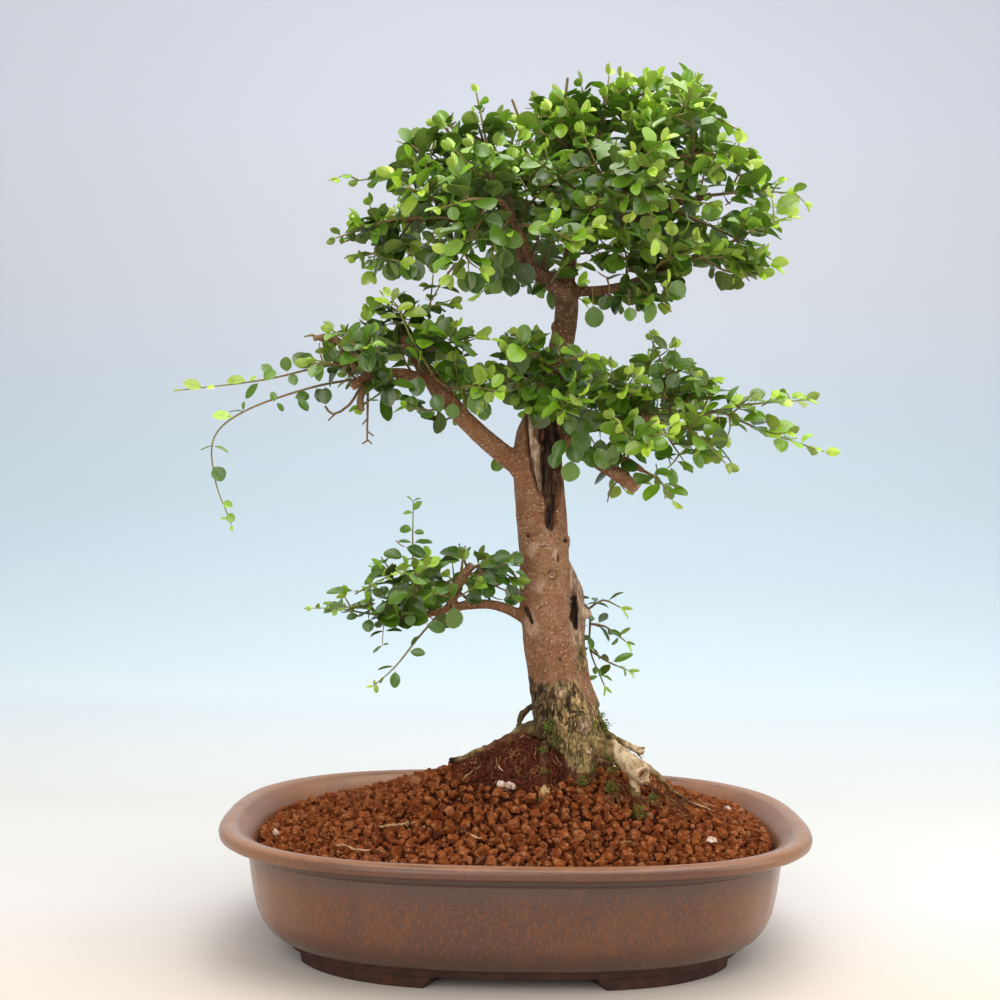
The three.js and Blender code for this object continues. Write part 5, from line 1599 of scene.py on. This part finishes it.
# inner shoots, which leave the branches all along them and fill the pads. Three limbs bear none,
# and a few others are bare for more than the usual share of their length.
inner_step, bare_share = 10.5, 0.22
bare_limbs, bare_shares = (0, 1, 5), {2: 0.5, 7: 0.3, 8: 0.3}
for number, (start, end, route) in enumerate(limbs):
    if number in bare_limbs:
        continue
    limb_tip = Vector(route[-1])
    name = min(sprays, key=lambda n: (Vector(sprays[n][0][0]) - limb_tip).length)
    growth = growths[name]
    chance = growth.chance
    stops = smooth_route(route)
    length = sum((b - a).length for a, b in zip(stops, stops[1:]))
    ages = (0.25, 0.75) if name.startswith("mid_right") else (0.05, 0.6)
    far = length * bare_shares.get(number, bare_share)
    while far < length:
        place, axis = along_route(stops, far)
        turn = chance.uniform(0, 2 * math.pi)
        level = axis.orthogonal().normalized()
        out = level * math.cos(turn) + axis.cross(level) * math.sin(turn)
        away = place - middles[name]
        out = (out + away.normalized() * 0.35 + Vector((0, 0, 0.3)) + axis * 0.3).normalized()
        reach = chance.uniform(22, 40)
        bow = Vector((chance.uniform(-5, 5), chance.uniform(-5, 5), chance.uniform(-2, 7)))
        root = place + out * (start + (end - start) * far / length - 0.6)
        grow_shoot(growth, [root, root + out * reach * 0.5, root + out * reach + bow], (0.9, 0.45),
                   ages, middles[name], 0.3, 0.95)
        far += inner_step * chance.uniform(0.7, 1.3)

# what follows is set one by one, so it isn't clipped to a pad
for growth in growths.values():
    growth.outline = None

# single twigs that stand out of the pads, by the shoot they belong to: the route, the radius at foot
# and tip, and the end. A twig without a mark there was pruned bare; "green" is a bare young tip, "tip
# leaf" has a single leaf, "small" has small new pairs, and a number is the age of its pairs of leaves.
single_twigs = {
    "crown_top": [
        ([(44, 16, 500), (31, 12, 505), (25, 10, 520), (28, 8, 556)], (1.4, 0.9), None),
        ([(40, 14, 478), (18, 4, 490), (6, 0, 504), (-8, -4, 538)], (1.3, 0.8), None),
    ],
    "crown_left_top": [
        ([(-26, 2, 505), (-38, -4, 504), (-43, -6, 509), (-50, -8, 518)], (1.1, 0.7), "tip leaf"),
        ([(-22, -4, 498), (-25, -6, 514), (-31, -8, 541)], (1.0, 0.6), 0.85),
    ],
    "crown_top_right": [([(70, 20, 538), (74, 12, 545), (80, 10, 549)], (1.0, 0.7), "tip leaf")],
    "crown_right_top": [([(92, 6, 532), (97, 4, 546), (113, 0, 556)], (1.2, 0.7), None)],
    "crown_left": [
        ([(-50, -20, 490), (-60, -26, 494), (-71, -28, 502)], (1.1, 0.7), "tip leaf"),
        ([(-104, -20, 481), (-112, -22, 484), (-116, -24, 482)], (0.7, 0.4), 0.95),
    ],
    "crown_front_mid": [
        ([(-4, -40, 452), (-10, -58, 464), (-25, -62, 486)], (1.1, 0.7), None),
        ([(2, -44, 460), (14, -62, 470), (40, -68, 481), (67, -64, 486)], (1.0, 0.5), 0.72),
    ],
    "crown_front": [([(30, -34, 456), (42, -46, 463), (78, -48, 468), (115, -44, 464)], (1.0, 0.5), 0.68)],
    "crown_left_low": [
        ([(-10, -26, 452), (-50, -42, 454), (-86, -46, 450), (-115, -44, 440)], (1.2, 0.5), 0.45),
    ],
    "crown_right": [([(168, 12, 484), (178, 14, 484), (185, 16, 479)], (0.7, 0.4), 0.95)],
    "crown_front_left": [([(-42, -30, 428), (-50, -32, 416), (-58, -32, 402)], (0.8, 0.4), 0.4)],
    "mid_left_end": [
        ([(-96, -36, 362), (-95, -38, 348), (-95, -38, 316)], (1.1, 0.6), None),
        ([(-95, -38, 330), (-98, -38, 326)], (0.6, 0.5), None),
        ([(-95, -38, 322), (-91, -38, 319)], (0.6, 0.5), None),
        ([(-95, -38, 316), (-98, -38, 314)], (0.6, 0.5), None),
        ([(-95, -38, 317), (-92, -38, 314)], (0.6, 0.5), None),
        ([(-102, -44, 360), (-107, -56, 370), (-115, -60, 378), (-126, -60, 376)], (2.6, 1.6), None),
        ([(-116, -60, 378), (-119, -60, 383)], (1.3, 1.0), None),
        ([(-108, -58, 371), (-104, -60, 381), (-99, -60, 385)], (1.0, 0.6), None),
        ([(-107, -56, 370), (-100, -60, 366), (-94, -60, 362)], (1.6, 1.2), None),
    ],
    "mid_left_hook": [
        ([(-98, -38, 352), (-106, -40, 338), (-116, -40, 332), (-121, -40, 337)], (1.1, 0.7), None),
        ([(-115, -40, 332), (-119, -40, 328)], (0.7, 0.5), None),
        ([(-97, -38, 350), (-99, -44, 341), (-98, -46, 334)], (2.3, 2.2), None),
    ],
    "mid_left_front": [([(-36, -18, 334), (-46, -24, 331), (-53, -24, 322)], (0.9, 0.5), None)],
    "mid_right_upright": [([(92, 2, 346), (93, -10, 361), (83, -14, 383)], (0.9, 0.5), 0.5)],
    "mid_right_hanging": [([(66, -12, 298), (58, -14, 288), (56, -14, 280)], (0.8, 0.4), None)],
    "mid_left_top": [
        ([(-60, -24, 366), (-58, -28, 396), (-56, -28, 421)], (0.9, 0.45), 0.85),
        ([(-55, -34, 358), (-67, -42, 377), (-75, -42, 394), (-81, -42, 404)], (0.8, 0.4), "green"),
    ],
    "low_drooping": [([(-82, -38, 214), (-83, -42, 202), (-83.5, -42, 190)], (0.45, 0.25), None)],
    "low_tip": [
        ([(-88, -47, 216), (-108, -50, 213.5), (-126, -50, 213)], (0.6, 0.3), "small"),
        ([(-100, -50, 222), (-86, -52, 230), (-70, -52, 238)], (0.6, 0.3), "small"),
    ],
}
for name, twigs in single_twigs.items():
    growth = growths[name]
    for stops, radius, ending in twigs:
        if ending == "small":
            grow_shoot(growth, stops, radius, (0.7, 1), middles[name], 0, 0.4, 3, 5.5)
        elif ending in (None, "green", "tip leaf"):
            route = smooth_route(stops)
            growth.stem(route, *radius, (0.5, 0.95) if ending == "green" else (0.12, 0.3), 6)
            if ending == "tip leaf":
                onward = route[-1] - route[-3] + Vector((3, 0, 2))
                growth.blade(route[-1], onward, Vector((0.1, -0.8, 0.6)), 12.5, 0.8, 0.5, 0.3, 0.2)
        else:
            ages = (max(ending - 0.5, 0.1), ending)
            grow_shoot(growth, stops, radius, ages, middles[name], 0, 0.72, 8, 9.5)

# big old leaves that hang under the crown in pairs: the foot of the stalk, and the leaf's length
hanging_leaves = {
    "crown_left_low": [((-52, -30, 436), 15), ((-70, -36, 430), 16), ((-84, -40, 428), 14)],
    "crown_front_left": [((-34, -32, 424), 17), ((-19, -28, 430), 16)],
    "crown_front_low": [((-10, -30, 438), 14), ((-4, -26, 430), 16), ((-12, -26, 422), 14)],
    "crown_fork_low": [((44, -30, 404), 17), ((54, -30, 410), 12), ((66, -36, 402), 10)],
}
for name, leaves in hanging_leaves.items():
    growth, chance = growths[name], growths[name].chance
    for foot, length in leaves:
        foot = Vector(foot)
        stalk = [foot + Vector((chance.uniform(-2, 2), 2, 11)), foot + Vector((0, 0, 5)), foot]
        growth.stem(stalk, 0.7, 0.4, (0.3, 0.5))
        for _ in range(2):
            growth.blade(foot, Vector((chance.uniform(-0.8, 0.8), chance.uniform(-0.4, 0.2), -1)),
                         Vector((chance.uniform(-0.4, 0.4), -1, 0.3)), length * chance.uniform(0.85, 1.05),
                         0.8, chance.uniform(0.1, 0.6), 0.3, 0.2)

# leaves that stand clear of the others: the foot of the blade, the way it points in degrees up from
# the right, its length, its width as a share of that, its age and how far it faces the front
clear_leaves = {
    "low_upright": [
        ((-66.4, -30, 261), 172, 9, 0.75, 0.35, 0.75), ((-66.2, -30, 259.5), 14, 7, 0.7, 0.4, 0.7),
        ((-66.4, -30, 272), 182, 6.5, 0.6, 0.55, 0.6), ((-66.6, -30, 273), 45, 8.5, 0.65, 0.5, 0.8),
        ((-66.4, -30, 279), 146, 5.5, 0.4, 0.7, 0.4), ((-66.4, -30, 279), 36, 5.5, 0.4, 0.7, 0.4),
        ((-66.6, -31, 253), 174, 9, 0.45, 0.3, 0.5), ((-66, -31, 253), 4, 13, 0.45, 0.3, 0.5),
    ],
    "low_drooping": [
        ((-60.9, -45, 196.8), 215, 8, 0.45, 0.2, 0.4), ((-57, -45, 204), -12, 13, 0.65, 0.25, 0.8),
        ((-67, -46, 187), 2, 10.5, 0.6, 0.25, 0.8), ((-75.6, -46, 177.6), 170, 10.5, 0.35, 0.3, 0.3),
        ((-75, -46, 175.4), -95, 11, 0.65, 0.25, 0.85), ((-81, -46, 171.8), 215, 6, 0.4, 0.5, 0.5),
        ((-86.5, -46, 167), -100, 6, 0.6, 0.85, 0.7), ((-88, -46, 165.5), 172, 5, 0.5, 0.95, 0.6),
        ((-88, -46, 165.5), 95, 4, 0.5, 0.95, 0.5), ((-82.5, -42, 199), 190, 10, 0.35, 0.35, 0.4),
        ((-82.5, -42, 199), 15, 11.5, 0.35, 0.35, 0.4), ((-83.2, -42, 190), 202, 8, 0.4, 0.5, 0.4),
        ((-83.2, -42, 190), 25, 4, 0.5, 0.5, 0.5),
    ],
    "low_tip": [
        ((-100.4, -46, 223.6), 174, 18, 0.4, 0.35, 0.45), ((-82, -46, 221.4), 10, 14, 0.85, 0.2, 0.95),
        ((-91.8, -46, 207.1), -85, 9, 0.95, 0.2, 0.95), ((-97.7, -46, 209), 205, 8, 0.65, 0.2, 0.8),
    ],
    "low_front": [
        ((-83.1, -46, 236.3), 208, 15, 0.5, 0.25, 0.6), ((-70.7, -40, 244), 165, 13.5, 0.65, 0.15, 0.7),
        ((-70.8, -42, 251), -14, 14.5, 0.65, 0.12, 0.85), ((-48.7, -46, 217.7), 38, 16.5, 0.62, 0.3, 0.85),
        ((-40.4, -46, 215.8), -78, 15, 0.85, 0.3, 0.95), ((-54.9, -46, 208.5), 152, 17, 0.62, 0.3, 0.75),
        ((-67, -46, 211), -80, 8.5, 0.95, 0.3, 0.95),
    ],
    "low_stub": [
        ((-17.6, -32, 243.5), 25, 13, 0.75, 0.1, 0.85), ((-7.4, -32, 242.5), 10, 11, 0.8, 0.15, 0.85),
        ((-23.6, -32, 233.4), -12, 15.5, 0.8, 0.2, 0.95), ((-7.2, -32, 229), -65, 12, 0.9, 0.1, 0.95),
        ((-10.4, -32, 218.6), 0, 11, 0.75, 0.1, 0.85), ((-25.8, -30, 232), -110, 11, 0.7, 0.05, 0.8),
        ((-34, -30, 220.6), -5, 12, 0.7, 0.1, 0.9), ((-3, -32, 236), -20, 9, 0.6, 0.3, 0.5),
    ],
    "mid_left_hook": [
        ((-139, -50, 341), 5, 10, 0.75, 0.2, 0.9), ((-137, -50, 340), -35, 10, 0.7, 0.3, 0.5),
        ((-150, -53, 338), 100, 7, 0.7, 0.4, 0.9), ((-149, -53, 338), -50, 7, 0.6, 0.4, 0.6),
        ((-168, -57, 332), 160, 9, 0.4, 0.4, 0.2), ((-168, -57, 332), 105, 7, 0.4, 0.5, 0.3),
        ((-174, -58, 328), 168, 13, 0.7, 0.85, 0.6), ((-186, -60, 311), 195, 8, 0.35, 0.5, 0.1),
        ((-186, -60, 311), -8, 12, 0.35, 0.5, 0.1), ((-185, -60, 299), -50, 11, 0.95, 0.35, 0.9),
        ((-180, -60, 276), 0, 7, 0.9, 0.7, 0.8), ((-177, -60, 270), -40, 7, 0.9, 0.75, 0.8),
        ((-176, -60, 267), 175, 5, 0.6, 0.8, 0.5), ((-174, -60, 264), -80, 5, 0.5, 0.95, 0.5),
        ((-126, -47, 348), -70, 10.5, 0.85, 0.2, 0.9), ((-120, -46, 349), -80, 12, 0.8, 0.25, 0.9),
    ],
    "mid_left_tip": [
        ((-192, -59, 345), 166, 13, 0.6, 0.97, 0.75), ((-191, -59, 346), 12, 6, 0.6, 1, 0.7),
        ((-205, -60, 344), 185, 5, 0.6, 1, 0.5), ((-166, -57, 350.5), 166, 13, 0.6, 0.9, 0.75),
        ((-165, -57, 350.5), 30, 5, 0.6, 0.9, 0.75), ((-151, -54, 354), 130, 10, 0.75, 0.4, 0.85),
        ((-136, -50, 359), 60, 12, 0.8, 0.35, 0.85), ((-159, -56, 350), 230, 13, 0.55, 0.3, 0.6),
        ((-157, -56, 351), 45, 10, 0.75, 0.5, 0.8), ((-148, -53, 355), 160, 9, 0.5, 0.8, 0.25),
        ((-143, -52, 356), 100, 10, 0.85, 0.55, 0.8), ((-141, -51, 356), -60, 9, 0.8, 0.3, 0.8),
        ((-129, -48, 359), 125, 14, 0.85, 0.1, 0.75), ((-120, -45, 362), 60, 12, 0.8, 0.3, 0.8),
    ],
    "mid_left_top": [
        ((-75, -42, 393), 8, 17, 0.7, 1, 0.6), ((-73, -42, 388), -12, 19, 0.55, 0.95, 0.4),
        ((-80, -42, 402), 60, 9, 0.6, 1, 0.8), ((-81, -42, 404), 120, 9, 0.6, 1, 0.8),
        ((-80, -42, 400), 165, 12, 0.5, 0.97, 0.6), ((-78, -42, 396), 20, 12, 0.6, 0.97, 0.7),
        ((-76, -42, 392), 160, 12, 0.5, 0.95, 0.6),
    ],
    "mid_left_front": [
        ((-88, -42, 361), -80, 18, 0.85, 0.1, 0.9), ((-83, -42, 350), -75, 14, 0.75, 0.15, 0.8),
        ((-64, -40, 357), -85, 14, 0.85, 0.15, 0.9), ((-66, -40, 345), -100, 12, 0.8, 0.3, 0.8),
        ((-54, -40, 346), -80, 13, 0.8, 0.2, 0.9), ((-41, -40, 356), -10, 14, 0.7, 0.45, 0.8),
        ((-42, -40, 341), -85, 11, 0.9, 0.3, 0.9), ((-23, -40, 343), -85, 14, 0.8, 0.35, 0.9),
        ((-27, -40, 353), -70, 15, 0.9, 0.2, 0.9), ((0, -40, 350), -80, 12, 0.9, 0.3, 0.9),
        ((3, -40, 339), -20, 12, 0.75, 0.5, 0.8), ((-9, 22, 310), 220, 14, 0.7, 0.5, 0.95),
    ],
    "mid_right_stub": [
        ((33, -26, 347), -90, 19, 0.85, 0.25, 0.95), ((49, -26, 339), -110, 17, 0.8, 0.3, 0.9),
        ((36, -28, 327), -80, 17, 0.9, 0.35, 0.9), ((22, -28, 346), -100, 15, 0.9, 0.2, 0.9),
        ((32, -24, 307), -85, 15, 0.95, 0.5, 0.95), ((62, -26, 331), 175, 18, 0.6, 0.5, 0.6),
        ((26, -30, 334), -60, 16, 0.75, 0.35, 0.7), ((42, -32, 333), -100, 17, 0.7, 0.5, 0.8),
        ((28, -26, 320), -120, 15, 0.7, 0.3, 0.8), ((47, -30, 315), -70, 16, 0.75, 0.4, 0.8),
        ((58, -32, 318), -95, 15, 0.6, 0.55, 0.7), ((66, -30, 322), -50, 16, 0.65, 0.45, 0.6),
        ((50, -26, 321), -80, 15, 0.8, 0.3, 0.9), ((37.8, -22, 320.7), -105, 15.5, 0.8, 0.2, 0.95),
        ((45, -22, 314.7), -48, 15.5, 0.85, 0.25, 0.95), ((64.3, -24, 312), -120, 12, 0.8, 0.1, 0.85),
        ((36.7, -24, 327.8), -12, 13.5, 0.8, 0.4, 0.8), ((53, -26, 324), 0, 15.5, 0.42, 0.5, 0.5),
        ((27.5, -24, 334), -60, 15, 0.85, 0.35, 0.95), ((38.6, -26, 338), -52, 15, 0.7, 0.35, 0.85),
        ((24, -26, 313), -95, 13, 0.8, 0.25, 0.9), ((56, -14, 361), 195, 17, 0.85, 0.12, 0.85),
        ((32.6, -24, 318.4), -75, 15, 0.9, 0.25, 0.95), ((39.7, -24, 314.5), -58, 15, 0.85, 0.35, 0.9),
        ((46.8, -24, 309.6), -28, 13, 0.8, 0.2, 0.9), ((52, -24, 313), 10, 13, 0.7, 0.3, 0.8),
        ((44, -24, 368), 185, 16, 0.7, 0.25, 0.8), ((56, -24, 356), 185, 18, 0.55, 0.5, 0.5),
    ],
    "crown_fork_low": [
        ((40, -30, 430), 15, 13, 0.5, 0.5, 0.6), ((45, -30, 437), 172, 13, 0.5, 0.4, 0.6),
        ((54, -30, 429), 20, 13, 0.45, 0.5, 0.5), ((47, -28, 424), 160, 12, 0.5, 0.3, 0.6),
        ((58, -30, 437), 160, 13, 0.5, 0.45, 0.6), ((50, -28, 432), -40, 12, 0.7, 0.3, 0.8),
    ],
    "mid_right_upright": [
        ((93.8, -13, 377.2), 140, 14, 0.5, 0.2, 0.7), ((93.5, -13, 378), 45, 7, 0.7, 0.7, 0.85),
        ((93.4, -13, 364), 88, 11, 0.8, 0.45, 0.85), ((95, -13, 367), 8, 14, 0.7, 0.35, 0.75),
        ((87, -13, 357), 95, 13, 0.9, 0.3, 0.9), ((77.7, -13, 357), 110, 14, 0.9, 0.1, 0.9),
        ((93, -13, 352), 60, 12, 0.8, 0.3, 0.8), ((91, -13, 350), 130, 13, 0.8, 0.3, 0.8),
        ((111.5, 0, 361), -60, 13, 0.42, 0.4, 0.6),
    ],
    "mid_right_low": [
        ((129, 0, 331), -95, 16, 0.75, 0.1, 0.95), ((131, 0, 311), 172, 16, 0.5, 0.35, 0.6),
        ((127, 0, 318), -35, 18, 0.25, 0.3, 0.15), ((112, 0, 314), -65, 13, 0.55, 0.5, 0.7),
    ],
    "mid_right": [
        ((122, 20, 340.5), 40, 11, 0.6, 0.8, 0.6), ((131, 20, 342.5), 18, 12, 0.45, 0.85, 0.45),
        ((138, 20, 345), 48, 12, 0.6, 0.9, 0.7), ((146, 20, 345), -12, 12, 0.4, 0.9, 0.4),
        ((151, 20, 347), 30, 11, 0.5, 0.95, 0.5), ((108, 14, 340), 125, 12, 0.6, 0.75, 0.7),
        ((165, 20, 349), 60, 9, 0.6, 1, 0.7), ((112, 12, 336), 70, 13, 0.55, 0.7, 0.7),
    ],
    "mid_right_hanging": [
        ((97, -6, 304), -70, 14, 0.5, 0.45, 0.6), ((91, -10, 293), -65, 13, 0.6, 0.45, 0.7),
        ((88, -10, 298), -85, 8, 0.6, 0.7, 0.6),
    ],
    "crown_right_top": [
        ((104, 2, 549), 70, 12, 0.8, 0.6, 0.7), ((86, 4, 549), 35, 13, 0.7, 0.6, 0.6),
        ((112, 0, 537), 80, 12, 0.85, 0.5, 0.8),
    ],
    "crown_right": [
        ((133, 2, 507), 10, 13, 0.6, 0.75, 0.4), ((138, -4, 466), 20, 14, 0.6, 0.4, 0.6),
        ((146, -4, 473), 165, 14, 0.6, 0.35, 0.6), ((150, -4, 466), -8, 14, 0.55, 0.5, 0.5),
        ((136, -6, 476), 40, 14, 0.6, 0.4, 0.6), ((128, -4, 464), 10, 14, 0.6, 0.3, 0.6),
    ],
}
for name, leaves in clear_leaves.items():
    growth, chance = growths[name], growths[name].chance
    for foot, degrees, length, share, age, turned_front in leaves:
        foot, angle = Vector(foot), math.radians(degrees + chance.uniform(-12, 12))
        along = Vector((math.cos(angle), chance.uniform(-0.5, 0.1), math.sin(angle)))
        if name not in bare_sprays:
            back = along.normalized()
            stalk = [foot - back * 6 + Vector((0, 8, 1)), foot - back * 2.5 + Vector((0, 2, 0)), foot]
            growth.stem(stalk, 0.45, 0.35, (0.3, 0.5))
        face = Vector((chance.uniform(-0.35, 0.35), -turned_front, 1.15 - turned_front))
        growth.blade(foot, along, face, length, share * 0.95, age,
                     chance.uniform(0.2, 0.6), chance.uniform(0.15, 0.5))

for name, growth in growths.items():
    piece = spray_piece(f"leaves_{name}", growth, (shoot_bark, leaf_upper, leaf_under))
    place_piece(piece, "foliage", f"spray_{name}")

# Room: a pale floor that turns up into a cool pale wall, lit by soft studio lamps.
# None of it belongs to the tree.
floor_points, floor_faces = [], []
turn_up = 0.9
curve = [(turn_up * (1 + math.sin(a)), turn_up * (1 - math.cos(a)))
         for a in np.linspace(0.1, math.pi / 2, 14)]
profile = [(-2.2, 0), (turn_up, 0), *curve, (2 * turn_up, 3.4)]
for y, z in profile:
    floor_points += [(-3.2, y, z), (3.2, y, z)]
for i in range(len(profile) - 1):
    floor_faces.append((2 * i, 2 * i + 1, 2 * i + 3, 2 * i + 2))
backdrop = mesh_piece("studio_floor", floor_points, floor_faces)
alone(backdrop)
bpy.ops.object.shade_smooth()
paper = new_finish("studio_paper", Roughness=0.9, Specular_IOR_Level=0.1)
run = add(paper, "MapRange", Value=math_of(paper, "ADD", height_of(paper, "Y"), height_of(paper)))
run.inputs["From Min"].default_value, run.inputs["From Max"].default_value = -0.2, 3.2
# how far back and up the paper a place lies, from 0 to 1, and its tone there: its cool tint up the wall, and
# painted light and shade in how bright it is along the way
paper_tones = ((0.024, (222, 212, 202)), (0.081, (225, 222, 220)), (0.176, (215, 217, 215)),
               (0.25, (219, 224, 226)), (0.365, (223, 235, 240)), (0.43, (213, 230, 240)),
               (0.49, (206, 224, 233)), (0.545, (201, 219, 231)), (0.597, (198, 215, 226)),
               (0.688, (199, 211, 224)), (0.8, (210, 214, 224)), (0.885, (214, 219, 232)),
               (1, (218, 222, 236)))
surface(paper, run_of(paper, run.outputs[0], *paper_tones))
backdrop.data.materials.append(paper)


def lamp(name, place, target, size, power, tone):
    """A soft square lamp turned towards a point."""
    light = bpy.data.lights.new(name, "AREA")
    light.shape, light.size, light.energy, light.color = "SQUARE", size, power, tone
    made = bpy.data.objects.new(name, light)
    made.location = place
    made.rotation_euler = (Vector(target) - Vector(place)).to_track_quat("-Z", "Y").to_euler()
    bpy.context.scene.collection.objects.link(made)


tree_middle = (0.0, 0.0, 0.3)
lamp("overhead_lamp", (0.2, -0.1, 1.6), tree_middle, 1.6, 23.5, (1, 0.99, 0.96))
lamp("front_lamp", (-0.6, -1.7, 1.15), tree_middle, 1.5, 15, (1, 0.98, 0.94))
lamp("right_lamp", (1.5, -0.5, 1.0), tree_middle, 1.2, 8.5, (1, 0.99, 0.95))
world = bpy.data.worlds.new("studio_room")
world.use_nodes = True
world.node_tree.nodes["Background"].inputs["Color"].default_value = (1.0, 0.98, 0.95, 1)
world.node_tree.nodes["Background"].inputs["Strength"].default_value = 0.6
bpy.context.scene.world = world
bpy.context.scene.view_settings.view_transform = "Standard"

film_width, focal_length, roll = 36, 50.18, -0.78
lens = bpy.data.cameras.new("photo_camera")
lens.sensor_width, lens.lens = film_width, focal_length
camera = bpy.data.objects.new("photo_camera", lens)
bpy.context.scene.collection.objects.link(camera)
camera.location = (camera_across * mm, -camera_away * mm, camera_height * mm)
camera.rotation_euler = (math.pi / 2, math.radians(roll), 0)
bpy.context.scene.camera = camera
